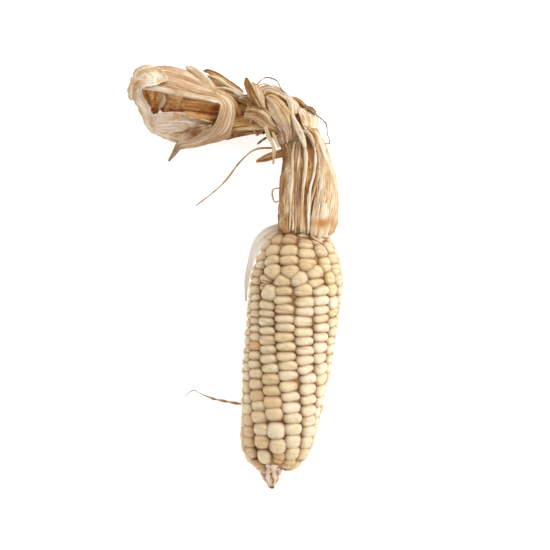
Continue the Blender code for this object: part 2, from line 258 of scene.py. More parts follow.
def leaf_piece(name, sheet, material, folds, thickness=LEAF_THICKNESS):
    """A thin closed leaf from a sheet of middle points. folds is 1 on ridges and -1 in grooves."""
    rows, columns = sheet.shape[:2]
    half = sheet_normals(sheet) * thickness / 2
    points = np.concatenate([(sheet + half).reshape(-1, 3), (sheet - half).reshape(-1, 3)])
    length = np.linalg.norm(np.diff(sheet.mean(axis=1), axis=0), axis=1).sum()
    width = np.linalg.norm(np.diff(sheet, axis=1), axis=2).sum(axis=1).max()
    along, across = np.meshgrid(
        np.linspace(0.0, length, rows), np.linspace(0.0, width, columns), indexing="ij"
    )
    surface_map = np.stack([across, along], axis=-1).reshape(-1, 2)
    values = {"fold": np.tile(folds.reshape(-1), 2), "stain": stain_and_shade_at(points)}
    return make_piece(
        name, points, sheet_faces(rows, columns), material, values, np.tile(surface_map, (2, 1))
    )


def furrows(rows, columns, seed, pleats, ribs, wander):
    """Ridges and grooves that run along a leaf: a few broad pleats and many fine ribs, from -1 to 1."""
    along, across = np.meshgrid(np.linspace(0, 1, rows), np.linspace(0, 1, columns), indexing="ij")
    drift = 0.35 * patchy(along * 3.0, across * 1.5, seed + 5)
    broad = patchy(across * pleats + drift, along * wander, seed)
    broad = np.sign(broad) * np.abs(broad) ** 0.8
    fine = patchy(across * ribs + drift * 2, along * wander * 2.5, seed + 1)
    fine = 2.0 * np.abs(fine) ** 0.5 - 1.2
    return broad, fine


def leaf_sheet(low_edge, high_edge, arch, rows, columns):
    """A sheet of points between two edge curves, arched out from the straight chord between them."""
    pairs = spread(np.hstack([low_edge, high_edge]), rows)
    low, high = pairs[:, :3], pairs[:, 3:]
    across = unit(high - low)
    along = unit(np.gradient((low + high) / 2, axis=0))
    outward = unit(np.cross(along, across))
    arch = arch * np.clip(np.linalg.norm(high - low, axis=1) / WIDE_LEAF, 0.0, 1.0)
    share = np.linspace(0.0, 1.0, columns)[None, :, None]
    rise = (arch[:, None, None] * 4 * share * (1 - share)) * outward[:, None, :]
    return low[:, None, :] * (1 - share) + high[:, None, :] * share + rise


def rumple(sheet, seed, pleats, ribs, pleat_height, rib_height, dents=0.0, wander=2.0, crumple=0.0):
    """Push a sheet in and out along its normals with pleats, ribs, soft dents and sharp crumples."""
    rows, columns = sheet.shape[:2]
    broad, fine = furrows(rows, columns, seed, pleats, ribs, wander)
    flat = sheet.mean(axis=2)
    soft = patchy(sheet[..., 0] / 9 + flat / 31, sheet[..., 1] / 9 + flat / 23, seed + 7)
    x, y = sheet[..., 0] / CRUMPLE_SIZE, sheet[..., 1] / CRUMPLE_SIZE
    sharp = 1 - 2 * np.abs(patchy(x + 0.4 * y + flat / 13, y - 0.3 * x + flat / 11, seed + 9))
    sharp = sharp + 0.5 - np.abs(patchy(1.9 * x - flat / 7, 1.9 * y + flat / 9, seed + 11))
    height = stretch(pleat_height, rows)[:, None]
    push = broad * height + fine * rib_height + soft * dents + sharp * crumple
    # folds goes to the leaf's colour, where it paints light on the ridges and shade in the grooves and
    # crumples.
    folds = 0.7 * broad * (height / height.max()) + 0.3 * fine + 0.5 * min(crumple, 1.0) * sharp
    return sheet + sheet_normals(sheet) * push[..., None], folds


def husk_leaf(name, low_edge, high_edge, material, seed, arch, size, **wrinkles):
    """A leaf between two edges, with its pleats, ribs, dents and crumples."""
    sheet, folds = rumple(leaf_sheet(low_edge, high_edge, arch, *size), seed, **wrinkles)
    return leaf_piece(name, sheet, material, folds)


def bundle_frame():
    """Middle points, sideways and upward directions and half sizes along the bundle of leaves."""
    rows = spread(BUNDLE_LINE, BUNDLE_STATIONS)
    middle = rows[:, :3]
    along = unit(np.gradient(middle, axis=0))
    sideways = unit(np.cross(along, np.array([0.0, 0.0, 1.0])))
    upward = unit(np.cross(sideways, along))
    return middle, sideways, upward, rows[:, 3], rows[:, 4]


BUNDLE = bundle_frame()


def on_bundle(share, turn, reach):
    """Points at a share of the way along the bundle, an angle in degrees round it and a reach out."""
    middle, sideways, upward, width, depth = BUNDLE
    place = np.clip(share * (BUNDLE_STATIONS - 1), -BUNDLE_LEAD, BUNDLE_STATIONS - 1.001)
    low = np.maximum(np.floor(place), 0).astype(int)
    part = (place - low)[..., None]

    def between(rows):
        rows = rows if rows.ndim == 2 else rows[:, None]
        return rows[low] * (1 - part) + rows[low + 1] * part

    angle = np.radians(turn)[..., None]
    side = between(sideways) * between(width) * np.cos(angle)
    up = between(upward) * between(depth) * np.sin(angle)
    return between(middle) + (side + up) * reach[..., None]


def ragged_start(rows, columns, pull):
    """How far each point of a sheet is pulled along it, to leave its first end ragged."""
    teeth = 0.5 + 0.5 * patchy(np.linspace(0, 1, columns) * columns / 5.0, np.zeros(columns), TATTER_SEED)
    teeth = 0.6 * teeth + 0.4 * np.random.default_rng(TATTER_SEED).random(columns)
    return teeth[None, :] * pull * (1 - np.linspace(0, 1, rows)[:, None]) ** 6


def draped_leaf(name, left, right, material, seed, reach, size, ragged=0.0, **wrinkles):
    """A leaf lying round the bundle between two edges given as (share, turn) lists."""
    rows, columns = size
    # Turns are divided by 100 while the points are spread, so that they weigh about as much as shares.
    left = spread([(s, t / 100.0) for s, t in left], rows)
    right = spread([(s, t / 100.0) for s, t in right], rows)
    share = np.linspace(0.0, 1.0, columns)[None, :]
    place = left[:, :1] * (1 - share) + right[:, :1] * share + ragged_start(rows, columns, ragged)
    turn = (left[:, 1:] * (1 - share) + right[:, 1:] * share) * 100.0
    sheet = on_bundle(place, turn, np.broadcast_to(stretch(reach, rows)[:, None], place.shape))
    sheet, folds = rumple(sheet, seed, **wrinkles)
    return leaf_piece(name, sheet, material, folds)


def bundle_top(x, y):
    """Height of the bundle's upper side under each point in plan."""
    middle, sideways, _, width, depth = BUNDLE
    flat = unit(sideways[:, :2])
    flat_x, flat_y = flat[:, 0], flat[:, 1]
    away_x = x[..., None] - middle[:, 0]
    away_y = y[..., None] - middle[:, 1]
    offset = away_x * flat_x + away_y * flat_y
    miss = np.abs(away_x * flat_y - away_y * flat_x) + 10.0 * (np.abs(offset) > 1.5 * width)
    station = np.argmin(miss, axis=-1)
    offset = np.take_along_axis(offset, station[..., None], axis=-1)[..., 0]
    share = np.clip(offset / width[station], -0.97, 0.97)
    return middle[station, 2] + depth[station] * np.sqrt(1 - share ** 2)


def ribbon(name, route, widths, material, seed, arch, size, draped=True, twist=0.0, **wrinkles):
    """A strip of leaf along a route of (x, y, z). When draped, z is the height above the bundle's top.

    twist is the height of the slanting coils that show where a strip is twisted on itself.
    """
    rows, columns = size
    line = spread(route, rows)
    along = np.gradient(line[:, :2], axis=0)
    across = unit(np.stack([along[:, 1], -along[:, 0]], axis=1))
    from_end = np.minimum(np.linspace(0, 1, rows), np.linspace(1, 0, rows))
    width = stretch(widths, rows) * (0.3 + 0.7 * np.sqrt(np.clip(from_end / 0.07, 0.0, 1.0)))
    spot = np.linspace(-1.0, 1.0, columns)
    plan = line[:, None, :2] + across[:, None, :] * (spot[None, :, None] * width[:, None, None] / 2)
    travelled = np.linspace(0.0, np.linalg.norm(np.diff(line, axis=0), axis=1).sum(), rows)
    uneven = patchy(travelled / 5.0, np.zeros(rows), seed + 13)[:, None]
    turned = travelled[:, None] / COIL_SPACING + 0.9 * spot[None, :] + 0.9 * uneven
    strength = 0.7 + 0.5 * patchy(travelled / 7.0, np.zeros(rows), seed + 15)[:, None]
    coils = twist * (2 * np.abs(np.sin(math.pi * turned)) - 1) * strength
    height = line[:, 2][:, None] + arch * (1 - spot[None, :] ** 2) + coils
    if draped:
        height = height + bundle_top(plan[..., 0], plan[..., 1])
    # The strip is turned end for end across, so that its front faces up.
    sheet = np.concatenate([plan, height[..., None]], axis=2)[:, ::-1]
    sheet, folds = rumple(sheet, seed, **wrinkles)
    # Painted light and shade: the raised middle of the strip and the crests of its coils are painted paler,
    # its edges darker.
    folds = folds + 0.25 * (1 - 2 * np.abs(spot[None, :]) ** 3) + 1.3 * coils
    return leaf_piece(name, sheet, material, folds)


def strand_piece(name, route, radii, material, seed, sides, steps, twist, flatness):
    """A strand along the route's points: round, or a flat strip that twists as it goes."""
    line = spread(route, steps)
    along = unit(np.gradient(line, axis=0))
    sideways = unit(np.cross(along, np.array([0.02, 0.05, 1.0])))
    upward = np.cross(sideways, along)
    radius = stretch(radii, steps)
    wobble = 1 + 0.25 * patchy(np.linspace(0, steps / 4, steps), np.zeros(steps), seed)
    points = []
    for i in range(steps):
        roll = twist * i / steps * 2 * math.pi
        for j in range(sides):
            angle = 2 * math.pi * j / sides
            a, b = math.cos(angle), math.sin(angle) * flatness
            out = sideways[i] * (a * math.cos(roll) - b * math.sin(roll))
            out = out + upward[i] * (a * math.sin(roll) + b * math.cos(roll))
            points.append(line[i] + out * radius[i] * wobble[i])
    faces = [(a, d, c, b) for a, b, c, d in tube_faces(steps, sides)]
    faces.append(tuple(range(sides - 1, -1, -1)))
    faces.append(tuple((steps - 1) * sides + j for j in range(sides)))
    length = np.linalg.norm(np.diff(line, axis=0), axis=1).sum()
    girth = radius.max() * 6
    surface_map = [(j * girth / sides, length * i / steps) for i in range(steps) for j in range(sides)]
    fold = [0.4 * math.sin(2 * math.pi * j / sides * 2) for j in range(sides)] * steps
    values = {"fold": fold, "stain": np.zeros(len(points))}
    return make_piece(name, points, faces, material, values, surface_map)


# ---------------------------------------------------------------- materials

BLACK = (0.0, 0.0, 0.0)
WHITE = (1.0, 1.0, 1.0)


def linear(hex_colour):
    """Linear red, green and blue of an sRGB hex colour."""
    parts = [int(hex_colour[i:i + 2], 16) / 255 for i in (1, 3, 5)]
    return tuple(p / 12.92 if p <= 0.04045 else ((p + 0.055) / 1.055) ** 2.4 for p in parts)


def add_node(tree, kind, sockets=None, **settings):
    """A node with its settings. A socket takes a constant, another socket or a node's first output."""
    node = tree.nodes.new("ShaderNode" + kind)
    for key, value in settings.items():
        setattr(node, key, value)
    for key, value in (sockets or {}).items():
        source = value.outputs[0] if isinstance(value, bpy.types.Node) else value
        if isinstance(source, bpy.types.NodeSocket):
            tree.links.new(source, node.inputs[key])
        else:
            node.inputs[key].default_value = source
    return node


def empty_material(name):
    material = bpy.data.materials.new(name)
    material.use_nodes = True
    material.node_tree.nodes.clear()
    return material, material.node_tree


def set_ramp(node, *stops):
    """Fill a colour ramp from (position, colour) stops."""
    ramp = node.color_ramp
    while len(ramp.elements) > 1:
        ramp.elements.remove(ramp.elements[-1])
    ramp.elements[0].position, ramp.elements[0].color = stops[0][0], (*stops[0][1], 1.0)
    for position, colour in stops[1:]:
        ramp.elements.new(position).color = (*colour, 1.0)


def husk_material(name, deep, middle, light, top, stain, stain_share, through):
    """Dried maize husk, grown and sun-dried: papery and matt. It is painted pale on its ribs and brown in its
    grooves, as painted light and shade on its own folds.

    The veins of a real leaf stand 0.7 mm apart. They are drawn about twice as far apart, so that they show.
    """
    material, tree = empty_material(name)
    surface = add_node(tree, "UVMap", uv_map="surface")
    place = add_node(tree, "TexCoord").outputs["Object"]
    fold = add_node(tree, "Attribute", attribute_name="fold").outputs["Fac"]
    spot = add_node(tree, "Attribute", attribute_name="stain").outputs["Fac"]
    along = add_node(tree, "Mapping", {"Vector": surface, "Scale": (0.62, 0.03, 1)})
    veins = add_node(tree, "TexNoise", {
        "Vector": along, "Scale": 1.0, "Detail": 4.0, "Roughness": 0.65, "Distortion": 0.2})
    fine = add_node(tree, "Mapping", {"Vector": surface, "Scale": (2.2, 0.07, 1)})
    hairs = add_node(tree, "TexNoise", {"Vector": fine, "Scale": 1.0, "Detail": 2.0, "Roughness": 0.5})
    blots = add_node(tree, "TexNoise", {
        "Vector": place, "Scale": 85.0, "Detail": 5.0, "Roughness": 0.6, "Distortion": 0.4})
    specks = add_node(tree, "TexNoise", {"Vector": place, "Scale": 620.0, "Detail": 3.0, "Roughness": 0.6})

    # The tone is 0.64 on a flat spot between veins: each texture adds or takes away from its middle value.
    from_vein = add_node(tree, "Math", {0: veins, 1: 0.5}, operation="SUBTRACT")
    from_vein = add_node(tree, "Math", {0: from_vein}, operation="ABSOLUTE")
    lines = add_node(tree, "MapRange", {
        "Value": from_vein, "From Min": 0.0, "From Max": 0.045, "To Min": 0.30, "To Max": 0.0})
    # Painted light and shade: fold is 1 on the ridges and -1 in the grooves of the leaf's own shape, so it
    # paints the ridges paler and the grooves browner.
    tone = add_node(tree, "Math", {0: fold, 1: 0.36}, operation="MULTIPLY")
    for texture, weight in ((veins, 1.7), (hairs, 0.8), (blots, 0.7)):
        centred = add_node(tree, "Math", {0: texture, 1: 0.5}, operation="SUBTRACT")
        tone = add_node(tree, "Math", {0: centred, 1: weight, 2: tone}, operation="MULTIPLY_ADD")
    tone = add_node(tree, "Math", {0: tone, 1: lines}, operation="SUBTRACT")
    tone = add_node(tree, "Math", {0: tone, 1: 0.64}, operation="ADD")
    ramp = add_node(tree, "ValToRGB", {"Fac": tone})
    set_ramp(ramp, (0.12, deep), (0.38, middle), (0.62, light), (0.90, top))
    blotched = add_node(tree, "ValToRGB", {"Fac": blots})
    set_ramp(blotched, (0.50, BLACK), (0.72, WHITE))
    # Real blots, and the stains and painted shade marks laid on each leaf, are mixed in with the stain
    # colour.
    amount = add_node(tree, "Math", {0: blotched, 1: stain_share}, operation="MULTIPLY")
    amount = add_node(tree, "Math", {0: amount, 1: spot}, operation="MAXIMUM")
    colour = add_node(tree, "Mix", {0: amount, 6: ramp, 7: (*stain, 1.0)}, data_type="RGBA").outputs[2]

    height = add_node(tree, "Math", {0: veins, 1: 0.8}, operation="MULTIPLY")
    for texture, weight in ((hairs, 0.35), (specks, 0.12)):
        height = add_node(tree, "Math", {0: texture, 1: weight, 2: height}, operation="MULTIPLY_ADD")
    height = add_node(tree, "Math", {0: height, 1: lines}, operation="SUBTRACT")
    bump = add_node(tree, "Bump", {"Height": height, "Strength": 0.6, "Distance": 0.0006})
    leaf = add_node(tree, "BsdfPrincipled", {
        "Base Color": colour, "Normal": bump, "Roughness": 0.58, "IOR": 1.45, "Sheen Weight": 0.15,
        "Sheen Roughness": 0.5})
    glow = add_node(tree, "BsdfTranslucent", {"Color": colour, "Normal": bump})
    mixed = add_node(tree, "MixShader", {0: through, 1: leaf, 2: glow})
    add_node(tree, "OutputMaterial", {"Surface": mixed})
    return material


def kernel_material(settings):
    """Dried maize kernels, grown and air-dried: a smooth, slightly waxy skin over a floury inside.

    Light goes a little way in, so the crowns look soft and warm. The rims are painted browner, as painted
    shade low on each kernel's sides where it meets its neighbours.
    """
    material, tree = empty_material("dried_maize_kernel")
    tint, depth, straw = (
        add_node(tree, "Attribute", attribute_name=key).outputs["Fac"] for key in ("tint", "depth", "straw"))
    place = add_node(tree, "TexCoord").outputs["Object"]
    surface = add_node(tree, "UVMap", uv_map="surface")
    peach, yellow, straw_shade, rim = (
        (*colour, 1.0) for colour in (
            settings.kernel_peach, settings.kernel_yellow, settings.kernel_straw, settings.kernel_rim_shade_and_wrinkles))
    colour = add_node(tree, "ValToRGB", {"Fac": tint})
    set_ramp(colour, (0.0, settings.kernel_orange), (0.12, settings.kernel_peach),
             (0.45, settings.kernel_ivory), (0.75, settings.kernel_cream), (1.0, settings.kernel_yellow))

    # Peach clouds on each kernel, then yellow drifts over several kernels.
    cloud = add_node(tree, "TexNoise", {
        "Vector": place, "Scale": 330.0, "Detail": 4.0, "Roughness": 0.55, "Distortion": 0.3})
    drift = add_node(tree, "TexNoise", {"Vector": place, "Scale": 55.0, "Detail": 2.0})
    for texture, low, high, share, shade in (
            (cloud, 0.42, 0.70, 0.35, peach), (drift, 0.40, 0.68, 0.25, yellow)):
        patches = add_node(tree, "ValToRGB", {"Fac": texture})
        set_ramp(patches, (low, BLACK), (high, WHITE))
        amount = add_node(tree, "Math", {0: patches, 1: share}, operation="MULTIPLY")
        colour = add_node(tree, "Mix", {0: amount, 6: colour, 7: shade}, data_type="RGBA").outputs[2]
    colour = add_node(tree, "Mix", {0: straw, 6: colour, 7: straw_shade}, data_type="RGBA").outputs[2]
    # Painted shade: the rim colour is mixed in low on each kernel's sides, where it meets its neighbours.
    low = add_node(tree, "MapRange", {
        "Value": depth, "From Min": 0.82, "From Max": 0.0, "To Min": 0.0, "To Max": 1.0})
    colour = add_node(tree, "Mix", {0: low, 6: colour, 7: rim}, data_type="RGBA").outputs[2]

    # Fine wrinkles of the dried skin, drawn as lines and mostly where the drifts are.
    across = add_node(tree, "Mapping", {"Vector": surface, "Scale": (0.22, 0.85, 1)})
    wrinkles = add_node(tree, "TexNoise", {
        "Vector": across, "Scale": 1.0, "Detail": 3.0, "Roughness": 0.6, "Distortion": 0.7})
    from_line = add_node(tree, "Math", {0: wrinkles, 1: 0.5}, operation="SUBTRACT")
    from_line = add_node(tree, "Math", {0: from_line}, operation="ABSOLUTE")
    lines = add_node(tree, "MapRange", {
        "Value": from_line, "From Min": 0.0, "From Max": 0.035, "To Min": 1.0, "To Max": 0.0})
    patches = add_node(tree, "Math", {0: patches, 1: 0.25}, operation="ADD")
    lines = add_node(tree, "Math", {0: lines, 1: patches}, operation="MULTIPLY")
    amount = add_node(tree, "Math", {0: lines, 1: 0.42}, operation="MULTIPLY")
    colour = add_node(tree, "Mix", {0: amount, 6: colour, 7: rim}, data_type="RGBA").outputs[2]

    skin = add_node(tree, "TexNoise", {"Vector": place, "Scale": 900.0, "Detail": 3.0, "Roughness": 0.6})
    height = add_node(tree, "Math", {0: skin, 1: 0.3}, operation="MULTIPLY")
    for texture, weight in ((wrinkles, 1.6), (lines, -0.35)):
        height = add_node(tree, "Math", {0: texture, 1: weight, 2: height}, operation="MULTIPLY_ADD")
    bump = add_node(tree, "Bump", {"Height": height, "Strength": 0.4, "Distance": 0.0006})
    kernel = add_node(tree, "BsdfPrincipled", {
        "Base Color": colour, "Normal": bump, "Roughness": 0.42, "IOR": 1.48, "Subsurface Weight": 0.18,
        "Subsurface Radius": (1.0, 0.55, 0.25), "Subsurface Scale": 0.0012})
    add_node(tree, "OutputMaterial", {"Surface": kernel})
    return material


def cob_material(name, deep="#7A4E28", middle="#A87A48", ridge="#B88A58"):
    """Dried cob or stalk, a rough chaffy wood: seen in the gaps, at the shrivelled tip and in the throat."""
    material, tree = empty_material(name)
    place = add_node(tree, "TexCoord").outputs["Object"]
    fold = add_node(tree, "Attribute", attribute_name="fold").outputs["Fac"]
    grain = add_node(tree, "TexNoise", {
        "Vector": place, "Scale": 420.0, "Detail": 6.0, "Roughness": 0.65, "Distortion": 0.6})
    # Painted light and shade: fold darkens the creases and lifts the crests towards the ridge highlight
    # colour.
    tone = add_node(tree, "Math", {0: fold, 1: 0.2, 2: grain}, operation="MULTIPLY_ADD")
    ramp = add_node(tree, "ValToRGB", {"Fac": tone})
    set_ramp(ramp, (0.30, linear(deep)), (0.58, linear(middle)))
    lift = add_node(tree, "MapRange", {
        "Value": fold, "From Min": -0.2, "From Max": 0.8, "To Min": 0.0, "To Max": 0.8})
    colour = add_node(tree, "Mix", {0: lift, 6: ramp, 7: (*linear(ridge), 1.0)}, data_type="RGBA").outputs[2]
    bump = add_node(tree, "Bump", {"Height": grain, "Strength": 0.7, "Distance": 0.0007})
    wood = add_node(tree, "BsdfPrincipled", {
        "Base Color": colour, "Normal": bump, "Roughness": 0.75, "IOR": 1.45})
    add_node(tree, "OutputMaterial", {"Surface": wood})
    return material


# ---------------------------------------------------------------- ear

EAR_DOWN = unit(EAR_FAR_END - EAR_BUTT)
EAR_SIDE = unit(np.cross(np.array([0.0, 0.0, 1.0]), EAR_DOWN))
EAR_UP = np.cross(EAR_DOWN, EAR_SIDE)

# Rows of kernels that show from above: (distance, turn) keys, then how far along the ear each kernel is.
# Turns are degrees from the top of the ear, to the right. Distances are millimetres from the butt end over
# the crowns, measured straight down the floor plan. axis_distance turns them to distances along the axis.
AXIS_SHARE = 0.994
AXIS_START = -0.9
ROWS = {
    "crest": (
        [(0, -26), (3, -23.8), (8.4, -18.4), (14, -14.3), (19, -10.9)],
        [2.7, 8.4, 13.8, 18.7],
    ),
    "crest_left": (
        [(24, -19.4), (34, -14), (48, -9.2), (61, -3), (72, 3.2), (83, 10.4), (94, 16.6), (105, 25),
         (116, 33)],
        [24.9, 29.2, 34, 38.8, 43.3, 47.9, 52.6, 57.4, 62, 66.9, 72.2, 77.2, 82.8, 88.4, 93.9, 99.1, 105.5,
         112.1, 118.2],
    ),
    "crest_right": (
        [(23, 0), (29, 6.7), (40, 12.3), (50, 15.4), (64, 21.6), (74, 30), (85, 38), (96, 46), (108, 54),
         (118, 60)],
        [23.2, 29.2, 34.6, 39.9, 45.1, 49.8, 54.7, 59.4, 64.3, 68.9, 73.7, 79, 84.7, 90.4, 95.8, 101, 107,
         113.3],
    ),
    "right": (
        [(0, 2), (4.7, 6.6), (10.2, 9.1), (16.1, 11.8), (19.8, 20.4), (25.3, 23.8), (29.6, 28.6), (39, 34.4),
         (53, 41), (64, 46), (69, 50), (75, 57), (86, 66), (102, 75), (118, 84)],
        [0.2, 4.7, 10.2, 15.6, 20.3, 25.3, 29.6, 34.4, 39.2, 43.8, 48.6, 53.1, 58.2, 63.7, 69, 74.8, 80.4,
         86.3, 91.5, 97.1, 102.4, 108.2, 114.6],
    ),
    "far_right": (
        [(0, 27), (8.7, 33.2), (15.8, 36.6), (22.8, 45.5), (29, 50.6), (41, 59), (50, 65), (70, 76), (90, 90),
         (118, 108)],
        [3.2, 8.9, 15.8, 22.8, 29, 35.3, 41.3, 46, 50.7, 54.9, 59.7, 64.8, 69.5, 74.2, 79.4, 85, 90.6, 96,
         101.6, 107.4, 113.4],
    ),
    "left": (
        [(0, -52), (8.7, -46.5), (14, -42), (19.4, -34.5), (24, -41), (27.4, -43), (30.8, -34.5),
         (36.4, -35.4), (50, -32.3), (59, -27.8), (74, -19.2), (86, -12.4), (91.4, -9.4), (100, -4.7),
         (108.3, 0), (115, 4.8)],
        [2.8, 8.7, 13.9, 19.4, 24, 27.4, 30.8, 36.2, 40.9, 44.9, 49.4, 54, 59, 63.8, 68.2, 74, 79.6, 85.2,
         91.4, 99.8, 108.3, 115],
    ),
    "far_left": (
        [(0, -78), (16, -65), (29, -62), (37, -58), (48, -54), (57.6, -51), (66.5, -47), (76.7, -41.9),
         (87.9, -34.9), (99, -29.5), (105.4, -25.9), (114.4, -22.6)],
        [1.6, 6.6, 11.6, 16.3, 20.4, 24.6, 29, 33.1, 37.2, 40.9, 44.6, 48.2, 52.6, 57.6, 61.9, 66.5, 71.3,
         76.7, 82.1, 87.9, 93.8, 99, 105.4, 114.4],
    ),
    "edge_left": (
        [(0, -100), (27, -84), (50, -74), (68, -67.5), (84, -63), (95, -57), (101.5, -54.5), (107, -53.5),
         (110.6, -53), (114.8, -66), (118.9, -49)],
        [3.5, 8.6, 13.6, 18.4, 22.8, 27, 31.2, 35.2, 39, 42.8, 46.6, 50.6, 54.8, 59.2, 63.6, 68.2, 73.2, 78.6,
         84.4, 89.5, 95.2, 101.3, 106.9, 111, 115, 119],
    ),
}
# Rows on the ear's underside, and where they start and end. Every second row starts and ends further in.
HIDDEN_ROWS = 9
HIDDEN_START, HIDDEN_END = 2.2, 118.5
HIDDEN_INSET, HIDDEN_CUT = 2.5, 5.5
# Small kernels fill a ring this far along, where no other kernel is nearer than LAST_RING_ROOM millimetres.
LAST_RING = 117.6
LAST_RING_ROOM = 4.4
LAST_RING_TURNS = np.arange(62.0, 306.0, 12.0)
KERNEL_PITCH = [(0, 5.4), (18, 5.2), (25, 4.6), (70, 4.7), (82, 5.4), (95, 5.5), (105, 6), (120, 6.2)]

# Kernels that differ: (distance, turn), extra width, extra length, lift, crease and tint.
ODD_KERNELS = [
    ((15.8, 36.6), -1.8, 0.6, -0.1, 0.9, 0.86), ((22.8, 45.5), -1.9, 0.4, 0, 0.6, 0.92),
    ((29, 50.6), -1.2, 0.2, 0, 0.6, 0.95), ((35.3, 55), -0.8, 0.4, 0, 0.3, 0.75),
    ((41.3, 59), -0.4, -0.3, -0.2, 0.6, 1), ((24, -41), 0.3, -1, -0.2, 1, 0.42),
    ((27.4, -43), -0.6, -1, -0.4, 1, 0.22), ((30.8, -34.5), 0.9, 1.6, 0.2, 0, 0.6),
    ((19.4, -34.5), 0.2, 0.9, 0.2, 0, 0.4), ((23.2, 0), -0.6, 0.4, 0.1, 0.1, 0.6),
    ((25.3, 23.8), 0.2, -0.5, -0.4, 0.2, 0.86), ((99.8, -4.7), 0.4, 0.9, 0.3, 0, 0.62),
    ((108.3, 0), 0.6, 0.8, 0.3, 0, 0.45), ((114.4, -22.6), 3, 2.2, 0.4, 0.1, 0.5),
    ((115, 4.8), -0.6, -0.2, -0.6, 0.8, 0.04), ((118.2, 33), 0.2, 0.2, -0.3, 0.7, 0.12),
    ((115, -66), 0.4, 0.4, 0.2, 0.5, 0.4), ((119, -49), 0.6, 0.4, 0.3, 0.7, 0.06),
    ((57.6, -51), 0, -0.2, 0, 0.3, 0.04), ((61.9, -49), 0, 0, 0, 0.1, 0.3),
    ((85.2, -12.4), 0.3, 0.2, 0.1, 0, 0.16), ((79.6, -16), 0.2, 0.1, 0, 0, 0.22),
    ((62, -3), 0, 0, 0, 0.1, 0.5),
]
# Near the far end the ear is fuller on its left: (distance, extra lift), spread round one turn.
LEFT_BULGE = [(97, 0), (105, 0.7), (113, 1.6), (120, 1.8)]
LEFT_BULGE_TURN = -80.0
LEFT_BULGE_REACH = 36.0
# Painted light and shade by turn: the left rows are painted peachier and darker as shade, the right rows
# paler as light:
# (turn, tint). Kernels are also peachier near the butt end: (distance, tint).
SIDE_LIGHT_AND_SHADE = [(-70, -0.06), (-55, -0.12), (-20, -0.06), (10, 0.04), (40, 0.13), (90, 0.12), (130, 0)]
BUTT_TINT = [(12, -0.06), (30, 0), (88, 0), (103, -0.18)]
# Kernels near the butt end are dented more: (distance, times the usual crease). A crease deeper than
# CREASED_LIMIT is narrow, and a shallower one is wide.
BUTT_CREASE = [(28, 1.7), (46, 1)]
CREASED_LIMIT = 0.45
NARROW_CREASE, WIDE_CREASE = 0.4, 0.7
CREASE_DEPTH = 0.75
# How far a straw shade covers the kernels at distances along the ear.
STRAW_SHADE = [(4, 0.27), (16, 0.23), (28, 0.10), (44, 0), (92, 0), (112, 0.04)]
# Kernels press together more towards the far end: (distance, times the usual overlap).
OVERLAP_GROWTH = [(84, 1), (100, 1.9), (118, 3.2)]
# How square a kernel's outline is at distances along the ear (2 is an ellipse), how much further kernels
# press sideways than lengthwise, and how many degrees the rows are spread down the sides.
KERNEL_SQUARENESS = [(0, 2.7), (30, 3), (70, 2.9), (100, 2.4)]
USUAL_PITCH = 5.0
SIDE_PRESS = 0.45
SIDE_SPREAD = 3.0
# How far a kernel may reach: sideways a share of the ear's radius, kept between two lengths, and lengthwise.
SIDE_LIMIT_SHARE = 0.29
SIDE_LIMIT = (4.3, 6.2)
LENGTH_LIMIT = 4.7
LEAST_ROOM = 1.1
# Only kernels nearer than this shape each other.
NEIGHBOUR_REACH = 15.0
# A kernel is rings of points at shares of the way to its border, and a skirt that goes down below its rim.
KERNEL_SEED = 41
KERNEL_SIDES = 24
KERNEL_RINGS = np.array([0.24, 0.46, 0.64, 0.78, 0.89, 0.96, 1.0])
BORDER_GROWTH = 1.03
SKIRT_SHARE = 0.96
SKIRT_DEPTH = 1.6


def ear_radius(distance):
    return between_keys(CROWN_RADIUS, distance)


def smooth_radius(distance):
    """The crown radius with the corners of its key points eased."""
    around = np.arange(-3.0, 4.0)
    weights = np.array([1.0, 2.0, 3.0, 3.5, 3.0, 2.0, 1.0])
    samples = ear_radius(np.asarray(distance, float)[..., None] + around)
    return (samples * weights).sum(axis=-1) / weights.sum()


def on_ear(distance, turn, radius):
    """Points round the ear's axis, at a turn in degrees from the top."""
    angle = np.radians(turn)[..., None]
    out = EAR_SIDE * np.sin(angle) + EAR_UP * np.cos(angle)
    return EAR_BUTT + EAR_DOWN * distance[..., None] + out * radius[..., None]


def row_places(start, end):
    places = [start]
    while places[-1] < end:
        places.append(places[-1] + float(between_keys(KERNEL_PITCH, places[-1])))
    return places[:-1]


def lean_out(turn):
    """A row's turn moved down the ear's side, because joints lie lower than the crowns beside them."""
    return turn + SIDE_SPREAD * np.sin(np.radians(2 * turn))


def axis_distance(place, turn):
    """Distance along the leaning axis of a place in plan, which is level with it at that turn."""
    sideways = ear_radius(place) * np.sin(np.radians(turn))
    return AXIS_SHARE * np.asarray(place) + AXIS_START - sideways * EAR_DOWN[0] / EAR_DOWN[1]


def kernel_centres():
    """The distance and turn of every kernel, row by row."""
    centres = []
    for keys, places in ROWS.values():
        turns = lean_out(key_curve(keys, places))
        centres += list(zip(axis_distance(places, turns), turns))
    for row in range(1, HIDDEN_ROWS + 1):
        share = row / (HIDDEN_ROWS + 1)
        short = row % 2
        places = row_places(HIDDEN_START + HIDDEN_INSET * short, HIDDEN_END - HIDDEN_CUT * short)
        right = lean_out(key_curve(ROWS["far_right"][0], places))
        left = lean_out(key_curve(ROWS["edge_left"][0], places)) + 360
        centres += list(zip(places, right * (1 - share) + left * share))
    for turn in LAST_RING_TURNS:
        rows = np.array(centres)
        sideways = np.radians(turn_from(rows[:, 1], turn)) * ear_radius(LAST_RING)
        if np.hypot(rows[:, 0] - LAST_RING, sideways).min() > LAST_RING_ROOM:
            centres.append((LAST_RING, turn))
    return np.array(centres)


